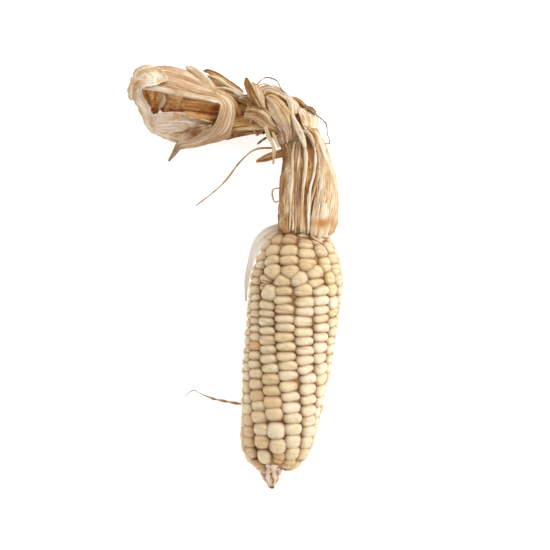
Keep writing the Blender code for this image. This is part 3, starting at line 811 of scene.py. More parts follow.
def kernel_traits(centres, rng):
    """Extra width, extra length, lift, crease and tint of each kernel."""
    count = len(centres)
    distances, turns = centres.T
    wide = rng.normal(0.0, 0.22, count)
    long = rng.normal(0.0, 0.18, count)
    lift = np.clip(rng.normal(0.0, 0.18, count), -0.4, 0.35)
    crease = np.where(rng.random(count) < 0.55, rng.uniform(0.12, 0.5, count), 0.0)
    crease *= between_keys(BUTT_CREASE, distances)
    # Painted light and shade: by turn, the tint is moved darker on the left of the ear and paler on its
    # right.
    tint = rng.normal(0.46, 0.12, count) + between_keys(SIDE_LIGHT_AND_SHADE, turn_from(turns, 0))
    tint = np.clip(tint + between_keys(BUTT_TINT, distances), 0.10, 0.9)
    for (distance, turn), *traits in ODD_KERNELS:
        turn = lean_out(turn)
        sideways = np.radians(turn_from(turns, turn)) * ear_radius(distance)
        nearest = np.argmin(np.hypot(distances - axis_distance(distance, turn), sideways))
        for values, trait in zip((wide, long, lift, crease, tint), traits):
            values[nearest] = trait
    away = turn_from(turns, LEFT_BULGE_TURN) / LEFT_BULGE_REACH
    lift += between_keys(LEFT_BULGE, distances) * np.exp(-away ** 2)
    return wide, long, lift, crease, tint


def kernel_border(ray, room, facing, square):
    """How far out each ray reaches: rounded where two walls meet, and no squarer than the given power."""
    toward = ray @ facing.T
    reach = np.where(toward > 0.02, room / np.maximum(toward, 0.02), 1e3)
    border = (reach ** -9.0).sum(axis=1) ** (-1 / 9.0)
    quarter = KERNEL_SIDES // 4
    across = np.abs(ray[:, 0]) / np.where(ray[:, 0] > 0, border[0], border[2 * quarter])
    lengthwise = np.abs(ray[:, 1]) / np.where(ray[:, 1] > 0, border[quarter], border[3 * quarter])
    rounded = (across ** square + lengthwise ** square) ** (-1 / square)
    return BORDER_GROWTH * np.minimum(border, rounded)


def kernel_inset(x, y, room, facing, border):
    """How far inside its walls and its border each point of a kernel lies, without sharp corners."""
    inside = room - np.stack([x, y], axis=1) @ facing.T
    margin = ((1 - KERNEL_RINGS[:, None]) * border[None, :]).ravel()
    margin = np.concatenate([[border.mean()], margin])
    inset = (np.maximum(inside, 0.02) ** -5.0).sum(axis=1) + np.maximum(margin, 0.02) ** -5.0
    return inset ** (-1 / 5.0)


def crease_across(x, y, half_width, crease, rng):
    """The dent of a crease that runs across a kernel, from 0 to the crease's strength."""
    if crease <= 0:
        return np.zeros(len(x))
    bend = rng.normal(0.0, 0.3) + 0.12 * x * rng.normal(0.0, 0.6)
    width = WIDE_CREASE if crease < CREASED_LIMIT else NARROW_CREASE
    trough = np.exp(-((y - bend) / width) ** 2)
    return crease * trough * (1 - (x / (half_width + 0.6)) ** 2).clip(0.0, 1.0)


def kernel_mesh(settings):
    """Points, faces and values of all the kernels, each shaped by the room between its neighbours."""
    rng = np.random.default_rng(KERNEL_SEED)
    centres = kernel_centres()
    centres[:, 0] += rng.normal(0.0, 0.12, len(centres))
    centres[:, 1] += rng.normal(0.0, 0.35, len(centres))
    wide, long, lift, crease, tint = kernel_traits(centres, rng)
    # Distances along the axis, the radius there, and the length of the way over the crowns.
    profile_s = np.linspace(-4.0, 124.0, 641)
    profile_r = smooth_radius(profile_s)
    profile_l = np.concatenate([[0.0], np.cumsum(np.hypot(np.diff(profile_s), np.diff(profile_r)))])
    along = np.interp(centres[:, 0], profile_s, profile_l)

    sides, rings = KERNEL_SIDES, len(KERNEL_RINGS)
    phi = np.linspace(0, 2 * math.pi, sides, endpoint=False)
    ray = np.stack([np.cos(phi), np.sin(phi)], axis=1)
    ends = np.array([[1.0, 0.0], [-1.0, 0.0], [0.0, 1.0], [0.0, -1.0]])
    relief, shoulder, overlap = (
        length / MM for length in (settings.kernel_relief, settings.kernel_shoulder, settings.kernel_overlap))
    points, faces, tints, depths, skin = [], [], [], [], []
    for i, (distance, turn) in enumerate(centres):
        # The room towards each neighbour, halfway between them and a little more.
        radius = float(smooth_radius(distance))
        dx = np.radians(turn_from(centres[:, 1], turn)) * (smooth_radius(centres[:, 0]) + radius) / 2
        dy = along - along[i]
        gap = np.hypot(dx, dy)
        near = np.where((gap > 0.1) & (gap < NEIGHBOUR_REACH))[0]
        facing = np.stack([dx[near], dy[near]], axis=1) / gap[near, None]
        sideways, endways = np.abs(facing.T)
        press = overlap * between_keys(OVERLAP_GROWTH, distance)
        room = gap[near] * (0.5 + press / USUAL_PITCH) + SIDE_PRESS * sideways
        room += (wide[i] - wide[near]) / 2 * sideways
        room += (long[i] - long[near]) / 2 * endways
        facing = np.vstack([facing, ends])
        limit = np.clip(SIDE_LIMIT_SHARE * radius, *SIDE_LIMIT)
        room = np.concatenate([room, [limit, limit, LENGTH_LIMIT, LENGTH_LIMIT]])
        room = np.maximum(room, LEAST_ROOM)
        border = kernel_border(ray, room, facing, between_keys(KERNEL_SQUARENESS, distance))

        # Height over the kernel: a rounded shoulder, a slight slope, a crease and soft unevenness.
        grid = KERNEL_RINGS[:, None] * border[None, :]
        x = np.concatenate([[0.0], (grid * ray[:, 0]).ravel()])
        y = np.concatenate([[0.0], (grid * ray[:, 1]).ravel()])
        round_off = np.clip(kernel_inset(x, y, room, facing, border) / shoulder, 0.0, 1.0)
        drop = 1 - round_off
        fall = 0.45 * (1 - np.sqrt(np.clip(1 - drop ** 2, 0.0, 1.0))) + 0.55 * drop ** 1.9
        height = lift[i] - relief * fall - 0.30 * (x / max(border[0], 1.0)) ** 2
        slope_x, slope_y = rng.normal(0.0, 0.06), rng.normal(0.0, 0.08)
        height += slope_x * x + slope_y * y
        dent = crease_across(x, y, border[0], crease[i], rng)
        height -= CREASE_DEPTH * dent
        height += 0.16 * patchy(x * 0.7 + i * 3.1, y * 1.1 + i * 1.7, 12) * round_off

        x = np.concatenate([x, x[-sides:] * SKIRT_SHARE])
        y = np.concatenate([y, y[-sides:] * SKIRT_SHARE])
        height = np.concatenate([height, np.full(sides, lift[i] - relief - SKIRT_DEPTH)])
        round_off, dent = (np.concatenate([values, np.zeros(sides)]) for values in (round_off, dent))
        # Painted shade: depth is 1 at the crown and falls to 0 low on the sides and near the border, where
        # the rim colour is painted on as shade; a crease lowers it, so shade is painted into creases too.
        depth = np.clip((height - lift[i] + relief) / relief, 0.0, 1.0)
        depth = np.minimum(depth, 0.25 + 0.75 * round_off ** 0.5)
        depths.append(np.clip(depth - 0.4 * dent, 0.0, 1.0))
        tints.append(np.full(len(x), tint[i]))
        # Each kernel has its own place in the texture of the skin.
        skin.append(np.column_stack([x + 17.3 * i % 89, y + 11.9 * i % 97]))

        # Bent round the ear, with the height standing straight out of its profile.
        level = np.interp(along[i] + y, profile_l, profile_s)
        lean = np.interp(level + 1, profile_s, profile_r) - np.interp(level - 1, profile_s, profile_r)
        out = height / np.sqrt(1 + (lean / 2) ** 2)
        reach = np.interp(level, profile_s, profile_r) + out
        first = i * len(x)
        points.append(on_ear(level - out * lean / 2, turn + np.degrees(x / radius), np.maximum(reach, 0.3)))
        faces += [(first, first + 1 + j, first + 1 + (j + 1) % sides) for j in range(sides)]
        faces += tube_faces(rings + 1, sides, first + 1)
    points = np.concatenate(points)
    points[:, 2] = np.maximum(points[:, 2], FLOOR_Z / MM)
    values = {
        "tint": np.concatenate(tints), "depth": np.concatenate(depths),
        "straw": between_keys(STRAW_SHADE, (points - EAR_BUTT) @ EAR_DOWN),
    }
    return points, faces, values, np.concatenate(skin)


def lathe(name, keys, material, seed, rough, sides=96, rings=70, folds=0.0, sideways=((0, 0), (1, 0))):
    """A closed body turned round the ear's axis, roughened, folded and moved sideways by the given keys."""
    distances = np.linspace(keys[0][0], keys[-1][0], rings)
    radius = key_curve(keys, distances)
    turn = np.linspace(0, 360, sides, endpoint=False)
    grid_s, grid_t = np.meshgrid(distances, turn, indexing="ij")
    width = max(float(radius.max()), 1.0)
    wave_x, wave_y = np.cos(np.radians(grid_t)) * width, np.sin(np.radians(grid_t)) * width
    bumps = patchy(wave_x / 2.2 + grid_s / 5 + 40, wave_y / 2.2 - grid_s / 4 + 40, seed)
    bumps += 0.5 * patchy(wave_x + 40, wave_y + grid_s / 1.6 + 40, seed + 3)
    creases = 1 - 2 * np.abs(patchy(wave_x / 2.6 + grid_s / 3 + 60, wave_y / 2.6 + grid_s / 2 + 60, seed + 8))
    push = (rough * bumps + folds * creases) * np.clip(radius[:, None] / 4.0, 0.1, 1.0)
    points = on_ear(grid_s, grid_t, np.maximum(radius[:, None] + push, 0.1))
    offset = between_keys(sideways, distances)
    points = (points + EAR_SIDE * offset[:, None, None]).reshape(-1, 3)
    points[:, 2] = np.maximum(points[:, 2], FLOOR_Z / MM)
    faces = tube_faces(rings, sides)
    faces.append(tuple(range(sides)))
    faces.append(tuple((rings - 1) * sides + j for j in range(sides - 1, -1, -1)))
    dark_end = 2.2 * smooth_step((grid_s - keys[-1][0] + 2.0) / 2.0)
    # fold goes to the colour: it paints light on the crests of the bumps and shade in their creases, and the
    # last two millimetres are darker.
    fold = (0.6 * bumps + 0.6 * creases - dark_end).reshape(-1)
    return make_piece(name, points, faces, material, {"fold": fold})


# ---------------------------------------------------------------- settings


def colour_setting(name, description, hex_colour):
    return FloatVectorProperty(name=name, description=description, subtype="COLOR", size=3, min=0.0, max=1.0,
                               default=linear(hex_colour))


def length_setting(name, description, millimetres):
    return FloatProperty(name=name, description=description, unit="LENGTH", min=0.0, default=millimetres * MM)


class CobSettings(bpy.types.PropertyGroup):
    """Sizes and colours of the cob, its husk and the stage."""

    kernel_relief: length_setting("Kernel relief", "Drop from a kernel's crown to its rim", 2.2)
    kernel_shoulder: length_setting("Kernel shoulder", "How far in from the rim a kernel is rounded", 3.0)
    kernel_overlap: length_setting("Kernel overlap", "How far neighbouring kernels press together", 0.34)
    kernel_ivory: colour_setting("Ivory kernel", "Commonest kernel colour", "#F5E0BA")
    kernel_cream: colour_setting("Cream kernel", "Palest kernel colour", "#F7E8CC")
    kernel_peach: colour_setting("Peach kernel", "Pinkish kernel colour", "#E6C394")
    kernel_orange: colour_setting("Orange kernel", "Rare deep kernel colour", "#DDA86A")
    kernel_yellow: colour_setting("Yellow kernel", "Yellowish kernel colour", "#EDD592")
    kernel_straw: colour_setting("Straw kernel", "Shade of the kernels near the butt end", "#B68B4C")
    # Painted shade low on each kernel's sides, and the colour of the wrinkle lines of its skin.
    kernel_rim_shade_and_wrinkles: colour_setting("Kernel rim", "Brown low on a kernel's side", "#8A5A28")
    husk_pale: colour_setting("Pale husk", "Pale husk leaves", "#F5DFB8")
    husk_white: colour_setting("White husk", "Brightest ribs", "#FFF6E4")
    husk_cream: colour_setting("Cream husk", "Cream strips and ribs", "#F9E8C6")
    husk_tan: colour_setting("Tan husk", "Tan husk leaves", "#E0B881")
    husk_mauve: colour_setting("Mauve husk", "Greyish mauve husk leaves", "#D4B092")
    husk_orange: colour_setting("Orange husk", "Orange-brown stains", "#C88A42")
    husk_brown: colour_setting("Brown husk", "Brown husk leaves", "#985C22")
    husk_dark: colour_setting("Dark husk", "Darkest hollows", "#5A2A0C")
    floor_colour: colour_setting("Floor", "Pale studio floor", "#FFFFFF")
    key_power: FloatProperty(name="Main light", description="Power of the main lamp", unit="POWER",
                             default=8.0, min=0.0)
    sky_strength: FloatProperty(name="Sky strength", description="Brightness of the studio round the object",
                                default=0.72, min=0.0)
    lens: FloatProperty(name="Lens", description="Camera focal length", subtype="DISTANCE_CAMERA",
                        default=200.0)


def settings_of(context):
    return context.scene.corn_cob


# Kinds of husk: colours of its grooves, sides, ribs and brightest ribs, a ramp from painted shade in the
# grooves to painted light on the ridges, then of its stains and painted shade marks, each a husk colour of
# the settings or a hex value, then how much the stains cover and how much light comes through.
HUSK_KINDS = {
    "pale": ("orange", "tan", "pale", "white", "orange", 0.28, 0.18),
    "pink": ("#A06A3C", "#C09464", "#DEC098", "#F6E4C6", "orange", 0.30, 0.16),
    "cream": ("orange", "tan", "cream", "white", "tan", 0.25, 0.18),
    "tan": ("brown", "orange", "tan", "cream", "orange", 0.45, 0.15),
    "mauve": ("#845A36", "#B0865E", "mauve", "pale", "#A06A36", 0.30, 0.10),
    "bark": ("#684628", "#966A42", "#B58B60", "#D6B48C", "brown", 0.25, 0.10),
    "beige": ("brown", "#B5854F", "#D3AE7E", "cream", "brown", 0.25, 0.12),
    "amber": ("brown", "#B27434", "#D09C5A", "#EACB95", "orange", 0.30, 0.20),
    "sheer": ("#DCD4C8", "#EDE8DF", "#FBFAF6", "#FFFFFF", "#E6D6BC", 0.10, 0.70),
    "golden": ("#BE6E26", "#E49C4A", "#FAC47A", "#FFE2AC", "orange", 0.25, 0.40),
    "straw": ("#A8703A", "#CB9C66", "#E4C396", "#F3DDB8", "brown", 0.20, 0.12),
    "rose": ("orange", "#E6BE9A", "#FAE2C8", "white", "orange", 0.25, 0.15),
    "orange": ("dark", "brown", "orange", "tan", "brown", 0.35, 0.12),
    "brown": ("dark", "brown", "#B9803F", "tan", "dark", 0.30, 0.10),
    "ash": ("#4E4438", "#776A5A", "#9C8E7C", "#C4B6A2", "dark", 0.10, 0.10),
    "dark": ("#4A240E", "dark", "brown", "orange", "dark", 0.45, 0.02),
}
HUSKS = {}


def husk(context, kind):
    """The husk material of that kind, made once."""
    if kind not in HUSKS:
        settings = settings_of(context)
        *colours, stain_share, through = HUSK_KINDS[kind]
        colours = [linear(c) if c[0] == "#" else tuple(getattr(settings, "husk_" + c)) for c in colours]
        HUSKS[kind] = husk_material("dried_husk_" + kind, *colours, stain_share, through)
    return HUSKS[kind]


# CAD nodes that pieces of another name stand for. A piece with a CAD node's own name stands for that one.
STANDS_FOR = {
    "kernels": "ear",
    "husk_under_right": "neck_leaf_under_right",
    "husk_under_left": "neck_leaf_under_left",
    "husk_under_top": "neck_leaf_tan",
    "husk_neck_right": "neck_leaf_right",
    "husk_twist": "neck_leaf_twisted",
    "husk_mauve_leaf": "neck_leaf_ribbed",
    "stick_leaf_shade": "stick_leaf",
}


def settle(piece, name):
    """Hide the CAD node that a piece stands for, if there is one."""
    node = STANDS_FOR.get(name, name)
    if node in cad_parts:
        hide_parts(node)


def lay_strips(context, table, **shape):
    """Make ribbons from rows of (name, kind, slot, seed, route, widths)."""
    for name, kind, slot, seed, route, widths in table:
        settle(ribbon(name, route, widths, husk(context, kind), seed, **shape), name)


def lay_leaves(context, table, **shape):
    """Make leaves from rows of (name, kind, slot, seed, arch, low edge, high edge)."""
    for name, kind, slot, seed, arch, low, high in table:
        settle(husk_leaf(name, low, high, husk(context, kind), seed, arch, **shape), name)


def lay_strands(context, table, seed, sides, steps):
    """Make strands from rows of (name, kind, slot, flatness, twist, route, radii)."""
    for name, kind, slot, flatness, twist, route, radii in table:
        piece = strand_piece(name, route, radii, husk(context, kind), seed, sides, steps, twist, flatness)
        settle(piece, name)


# ---------------------------------------------------------------- tables of leaves and strands

# Places are x, y and z in millimetres. Draped strips give heights above the bundle's top instead of z.

# Under leaves of the neck: name, kind, slot, seed, turns of the two edges and reach along the neck.
UNDER_LEAVES = (
    ("husk_under_right", "pale", "husk_pale", 31, (255, 335), (0.82, 0.92, 1, 1, 1, 0.94, 0.8)),
    ("husk_under_left", "tan", "husk_tan", 37, (190, 270), (0.82, 0.92, 1, 1, 1, 0.94, 0.8)),
    # The top under leaf shows only in the gaps between the strips laid over it, and its darker orange kind
    # paints shade into those gaps.
    ("husk_under_top", "orange", "husk_brown", 43, (-35, 205), (0.80, 0.88, 0.9, 0.9, 0.9, 0.86, 0.7)),
)
# The wide right leaf of the neck: (share, turn) along its two edges, and its reach.
NECK_RIGHT_LEFT = [(-0.01, 62), (0.06, 74), (0.25, 70), (0.40, 62), (0.50, 52), (0.58, 44), (0.66, 40)]
NECK_RIGHT_RIGHT = [(-0.03, 14), (0.03, -10), (0.08, -28), (0.3, -34), (0.6, -34), (0.66, -30)]
NECK_RIGHT_REACH = (0.80, 1, 1.04, 1.04, 1.03, 1.02, 0.99, 0.97, 0.96)

# Strips along the neck, draped: name, kind, slot, seed, arch, route and widths.
NECK_STRIPS = (
    ("husk_twist_edge", "orange", "husk_brown", 3, 0.8,
     [(27.6, 56.8, -2.2), (25, 50.8, -1), (24, 43.8, -1), (23.8, 35.2, -0.6), (23.6, 27, -0.4),
      (24.6, 22.4, -0.6)], (1.2, 3.4, 2.6, 2.8, 3.4, 2.4)),
    ("husk_twist", "tan", "husk_brown", 7, 1,
     [(28.8, 62, -1.2), (27.2, 51, -0.2), (26.2, 40.2, 0), (25.7, 32.8, 0), (25.2, 26, 0.3), (26.6, 22, 0.4)],
     (1, 3.8, 3.4, 3, 4.4, 2.8)),
    ("husk_rib_left", "pale", "husk_cream", 13, 0.7,
     [(31.4, 70.4, -1.2), (29.6, 61.4, -0.2), (29.1, 50.2, 0), (28, 37.8, 0.1), (27.8, 23.4, 0.4)],
     (0.5, 1.3, 1.4, 1.6, 1.4)),
    ("husk_mauve_leaf", "bark", "husk_mauve", 19, 0.5,
     [(32, 71.4, -1.6), (32, 62, -1), (31.5, 52.8, -0.7), (31, 37.8, -0.3), (30.6, 22.4, 0.4)],
     (3, 4.6, 4.8, 5.6, 7)),
    ("husk_rib_thin", "tan", "husk_cream", 21, 0.5,
     [(33.2, 66.4, -1), (31.9, 54.4, -0.2), (31.2, 46, -0.3), (30.2, 32, -0.7)], (0.4, 1, 0.9, 0.5)),
    ("husk_rib_middle", "cream", "husk_cream", 29, 0.7,
     [(34.3, 70, -1), (35.8, 60, 0), (35.4, 51, 0.1), (34, 39.8, 0.1), (33.2, 23.2, 0.4)],
     (0.6, 2, 1.6, 1.5, 1.3)),
    ("husk_rib_low", "tan", "husk_mauve", 27, 0.4,
     [(29.4, 44, -0.6), (29.2, 36, 0.1), (29.3, 28, 0.5), (29.2, 23, 0.7)], (0.4, 0.8, 0.9, 0.8)),
    ("husk_rib_lower", "bark", "husk_mauve", 33, 0.4,
     [(31.4, 38, -0.5), (31.6, 31, 0.2), (31.7, 25, 0.5), (31.6, 23, 0.8)], (0.4, 0.8, 0.9, 0.8)),
    ("husk_grey", "amber", "husk_mauve", 31, 0.6,
     [(36.6, 70.8, -1.4), (37.6, 62, -0.9), (37.9, 54, -0.8), (37.2, 47, -0.9), (36, 38, -1.6)],
     (2, 4.2, 4.4, 3.6, 0.8)),
    ("husk_fill", "tan", "husk_tan", 35, 0.4,
     [(36.4, 43, -1.6), (35.7, 35, -0.8), (35.2, 27, -0.2), (35, 22.6, 0)], (1, 2.6, 3, 3)),
    ("husk_ridge", "cream", "husk_cream", 37, 0.8,
     [(39.2, 69.8, -1), (40.7, 60.4, 0.1), (40, 51.2, 0.3), (37.6, 41, 0.2), (36.9, 22.6, 0.4)],
     (0.5, 1.5, 1.5, 1.3, 1.3)),
    ("husk_ridge_pink", "pink", "husk_pale", 39, 0.7,
     [(42.2, 63.6, -0.8), (42, 52, 0.2), (39.6, 41.6, 0.3), (37.9, 33, 0.2), (37.6, 24, -0.2)],
     (0.4, 1.3, 1.4, 1.3, 0.6)),
    ("husk_fan_inner", "pink", "husk_pale", 41, 0.7,
     [(36.4, 73, 0), (40.6, 67.4, 0.5), (43.4, 59.8, 0.5), (44, 50.2, 0.6), (42, 36, 0.8), (40.5, 21, 0.9)],
     (0.8, 2.6, 3.6, 4, 5.2, 5.2)),
    ("husk_fan_middle", "pale", "husk_pale", 43, 0.7,
     [(36.8, 73.6, 0.3), (42, 68, 0.7), (45.2, 60.2, 0.7), (47, 50.2, 0.8), (46, 36, 1.1), (43.9, 20.4, 0.6)],
     (0.8, 2.4, 3.2, 4, 5.2, 5.6)),
    ("husk_fan_outer", "cream", "husk_pale", 47, 0.7,
     [(37.4, 74.2, 0.2), (42.8, 69.4, 0.5), (46.6, 61, 0.5), (48.4, 50.2, 0.6), (48.8, 37, 0.8),
      (46.9, 22, 0)], (0.8, 2.4, 2.6, 3.2, 3.6, 4)),
)
# A strip that ends before TAIL_START gets one more point, this far on and this far down.
TAIL_START, TAIL_LENGTH, TAIL_DROP = 24.0, 1.6, 3.4

# Ties round the bend: name, kind, slot, seed, share along the bundle, width and slant.
TIES = (
    ("tie_left", "amber", "husk_tan", 71, 0.90, 8.6, 3),
    ("tie_diagonal", "mauve", "husk_mauve", 73, 0.70, 11.4, -8),
)
# A tie runs round the bundle through these turns, just outside it.
TIE_TURNS = np.linspace(240, -80, 140)
TIE_COLUMNS = 40
TIE_REACH = 1.04
# About the length of the bundle, which turns a width into a share.
BUNDLE_LENGTH = 96.0

# Strips round the bend: name, kind, slot, seed, route and widths.
BEND_STRIPS = (
    # Brown and ochre leaves over the top of the bend, under the tie.
    ("bend_leaf_olive", "pale", "husk_brown", 5,
     [(9.5, 90.6, 20), (13.6, 93.2, 20.5), (19.6, 93.6, 20.5), (25.2, 90.4, 20), (29.6, 86, 19.5)],
     (1.6, 3.4, 3.8, 3.6, 2.6)),
    ("bend_leaf_ochre", "orange", "husk_tan", 9,
     [(12, 88.6, 23.2), (16.2, 91.4, 23.6), (21, 91, 23.4), (26.2, 87.4, 22.6), (29.6, 83, 22)],
     (1.4, 2.4, 2.8, 3, 2.6)),
    ("bend_leaf_pale", "straw", "husk_cream", 15,
     [(14.3, 90.6, 23.8), (17, 92.4, 24), (20.4, 91.4, 24.2), (24.4, 89.2, 24.2), (27.4, 86.6, 24.2)],
     (0.8, 1.4, 1.5, 1.3, 1)),
    ("bend_leaf_orange", "amber", "husk_brown", 21,
     [(14.6, 88.2, 25), (18.6, 89.8, 25.2), (22.6, 87.8, 25.2), (27, 83.8, 24.6)], (1, 2.2, 2.4, 1.6)),
    ("bend_leaf_dark", "brown", "husk_brown", 27,
     [(29, 89.6, 20.5), (32.4, 87.2, 21.5), (35, 84.6, 22), (36.4, 81.8, 22)], (1.4, 2.6, 2.6, 1.4)),
    ("bend_leaf_white", "cream", "husk_cream", 33,
     [(24.8, 90.4, 22), (27.6, 88.2, 24.6), (30.2, 84.6, 26), (30.8, 80.4, 27.2)], (1.6, 3.6, 4.4, 3.2)),
    ("bend_leaf_grey_end", "mauve", "husk_mauve", 39,
     [(2.8, 88.8, 21), (6.4, 89.2, 22.8), (10.6, 87.6, 24.6), (12.6, 84.8, 25.6)], (1.8, 3.2, 3.2, 2.2)),
    # Ribs that run from the tie to the loop.
    ("throat_rib_top", "brown", "husk_brown", 45,
     [(14, 80, 22), (6, 81.6, 20.6), (-1, 82.8, 18.6), (-6, 83.6, 16)], (6, 7, 7, 5)),
    ("throat_rib_upper", "amber", "husk_brown", 51,
     [(13, 79.4, 23.4), (5, 78.6, 22), (-1, 77.6, 20.4), (-5, 76.4, 18)], (2.6, 3.2, 3.4, 2)),
    ("throat_rib_middle", "amber", "husk_mauve", 57,
     [(16, 75.4, 24.2), (8, 75.8, 22.8), (0.6, 75.2, 20.6), (-5, 73.8, 18)], (3, 3, 3.4, 2.4)),
    ("throat_rib_pale", "tan", "husk_tan", 63,
     [(17, 73.8, 23.6), (9.6, 73.6, 22.6), (2, 73.4, 20.4), (-4, 71.8, 17.6)], (1.4, 1.8, 1.8, 1.2)),
    ("throat_rib_low", "brown", "husk_brown", 69,
     [(17.6, 73.4, 18.6), (10, 73.4, 19.2), (2, 72.6, 17.2), (-4, 70.6, 14.6)], (2.4, 3, 3.2, 2.4)),
    ("throat_rib_edge", "amber", "husk_brown", 75,
     [(16, 73, 12), (9, 72.4, 13), (1, 71, 11.6), (-5, 69, 10)], (1.6, 2.6, 3, 2.4)),
    ("tie_ribbon", "cream", "husk_cream", 135,
     [(27, 87.6, 25), (28.8, 84.4, 27.6), (29, 80.6, 28.8), (30.4, 76.8, 29.8), (32.4, 72.4, 30.2),
      (34.2, 68.4, 30.2), (35.6, 63.4, 30.2)], (1.6, 3.2, 2.2, 2.8, 3, 2.4, 1)),
    # Leaf ends at the foot of the knot.
    ("knot_foot_orange", "amber", "husk_brown", 153,
     [(34.4, 74.2, 27.4), (37.4, 73.4, 27.6), (40, 70.6, 27.2), (41.4, 66.4, 27.2)], (1.2, 2.2, 2.4, 1.4)),
    ("knot_foot_pale", "pink", "husk_pale", 159,
     [(33, 72.6, 28.4), (36.4, 71.2, 28.2), (38.8, 68.2, 28), (40, 64.2, 28.2)], (1, 1.8, 2, 1.2)),
)

# Leaves: name, kind, slot, seed, arch, low edge and high edge.
KNOT_LEAVES = (
    # The band across the front of the tie, which gathers on the right, and the diagonal band.
    ("band_fan", "straw", "husk_tan", 87, 1.8,
     [(4.8, 78.2, 22.6), (8.2, 77.9, 24.2), (11, 76.8, 25), (13.4, 75.2, 25.2), (15.8, 73.8, 25),
      (18.4, 73, 24.6), (21, 72.7, 24.4), (23.2, 72.6, 24.2)],
     [(6.4, 84, 25), (9.8, 84.6, 26.4), (13.2, 84.4, 27.2), (16.2, 83.2, 27.6), (18, 80.8, 27.8),
      (18.8, 78, 27.6), (20.6, 75.4, 27), (23, 73.6, 26)]),
    ("diagonal_fan", "straw", "husk_tan", 105, 2,
     [(15.8, 88.4, 25.2), (16.9, 84.6, 26.6), (18.3, 81.2, 27.2), (19.8, 78, 27.6), (22.2, 75.2, 27.4),
      (25.4, 72, 26.4)],
     [(17.6, 90.6, 24), (21, 89.2, 25.6), (24.2, 86.8, 26.8), (27, 84, 27.8), (29.2, 80.2, 28.4),
      (30, 74.6, 27)]),
    # The greyish patch below the diagonal band, cut off straight where the neck begins.
    ("knot_patch", "mauve", "husk_mauve", 129, 1,
     [(19.4, 76.6, 25.4), (20.6, 73.4, 26.6), (22, 70, 27.4), (23, 66.8, 27.4), (23.4, 65.8, 26.2)],
     [(30, 78.6, 27.6), (31.2, 75.2, 28.6), (31.6, 72.2, 29), (31.2, 69.4, 28.8), (31, 68.4, 27.8)]),
    # The stick-like leaf, folded lengthwise: brown on its left and cream on its right.
    ("stick_leaf_shade", "amber", "husk_tan", 141, 0.8,
     [(5.7, 98.9, 21.4), (5.2, 95.4, 23.4), (6.6, 91.2, 25.4), (8.6, 87.8, 26.8), (11.6, 84, 28)],
     [(6.5, 98.9, 21.6), (8.6, 96, 25), (10.5, 91.8, 27.6), (12.2, 88.2, 28.8), (14.4, 83.8, 29.6)]),
    ("stick_leaf_light", "straw", "husk_cream", 147, 0.9,
     [(8.9, 96.6, 24.4), (9.4, 94.2, 26.2), (10.8, 91, 28), (12.4, 87.8, 29), (14.4, 83.8, 29.7)],
     [(9.6, 96.7, 24.2), (12.2, 94.6, 25.4), (14, 91, 26.6), (15.2, 87.4, 27.8), (16.2, 83.4, 28.8)]),
)

FLAP_LEAVES = (
    ("papery_flap", "cream", "husk_cream", 79, 1.2,
     [(31.6, 82.6, 24.5), (33, 79, 26), (34, 75.6, 27.4), (35.4, 72.6, 28)],
     [(37.6, 84.4, 21), (41, 81.2, 20.6), (41.8, 77, 21.4), (40.6, 73.6, 23)]),
    ("flap_curl", "brown", "husk_brown", 85, 0.6,
     [(36.4, 84.8, 22), (39.4, 84.2, 22), (41.4, 81.6, 22)],
     [(37, 82.8, 24), (39.2, 82, 24), (40.4, 80.2, 23.6)]),
)

# Hanging stubs and loose fibres: name, kind, slot, flatness, twist, route and radii.
STUBS = (
    ("pale_stub_long", "cream", "husk_cream", 0.7, 0,
     [(15.5, 74.6, 27), (17.4, 69.4, 26.6), (19.4, 65.4, 25.6), (20, 60.6, 23), (19.6, 56, 21)],
     (0.9, 1, 0.8, 0.5)),
    ("pale_stub_short", "cream", "husk_cream", 0.7, 0,
     [(19.2, 71.5, 27.6), (21.2, 67.6, 26.6), (22.6, 64.2, 25)], (0.7, 0.9, 0.8)),
    ("dark_stub", "ash", "husk_brown", 0.7, 0,
     [(16.2, 69.4, 14), (14.2, 68.2, 13), (11.6, 66.2, 12)], (0.7, 0.6, 0.4)),
)

LOOP_TOP = (
    # The broad leaf over the top, round the right end and back along the bottom to its tip.
    ("loop_leaf_outer", "pink", "husk_pale", 101, -3,
     [(-47.4, 103.2, 7), (-40, 105.2, 7.4), (-30, 105.4, 8), (-21.4, 102.8, 8), (-14, 97.8, 9),
      (-7.2, 91.6, 10.5), (-1.4, 86.2, 11.5), (1.4, 80.6, 11.5), (1.8, 75.6, 10.5), (0.2, 71.4, 8.5),
      (-5, 69.4, 6.5), (-12.5, 68.4, 4.5), (-20, 66.5, 2.6), (-25.2, 66, 1.4), (-28.2, 65, 1),
      (-30.6, 61.4, 1.2), (-33.6, 58.2, 1.8)],
     [(-41.4, 95.4, 27.6), (-35.6, 93.4, 30.6), (-29.6, 90.8, 33), (-23.5, 88.9, 34), (-15.5, 87.7, 34),
      (-9.4, 86.7, 33.8), (-6.8, 84.9, 33), (-7.2, 81.8, 32), (-8.2, 78.4, 31), (-9.8, 75.2, 30),
      (-12.8, 72.6, 28.5), (-17.2, 70.4, 25.5), (-22.5, 68.9, 20), (-27, 68.6, 13), (-29.6, 66.4, 8.5),
      (-31.8, 62, 5), (-33.8, 58.4, 2.6)]),
)

LOOP_CAP = (
    # The whitish crumpled cap at the top left.
    ("loop_cap", "cream", "husk_pale", 113, -2.6,
     [(-52.4, 88.6, 2.4), (-52.8, 92.6, 3), (-52.6, 96.9, 3.5), (-51.4, 100.9, 5), (-48.9, 104, 7),
      (-44.6, 106, 9.4), (-39.6, 104.8, 11.6), (-34.6, 100.6, 21.5)],
     [(-46.8, 89.4, 25.6), (-46.8, 92, 28), (-45.4, 93.4, 30.6), (-43.5, 94.2, 32.4), (-41.2, 94.8, 33.8),
      (-38.6, 95, 33.8), (-36, 95.6, 32), (-32.6, 97.2, 28.6)]),
)

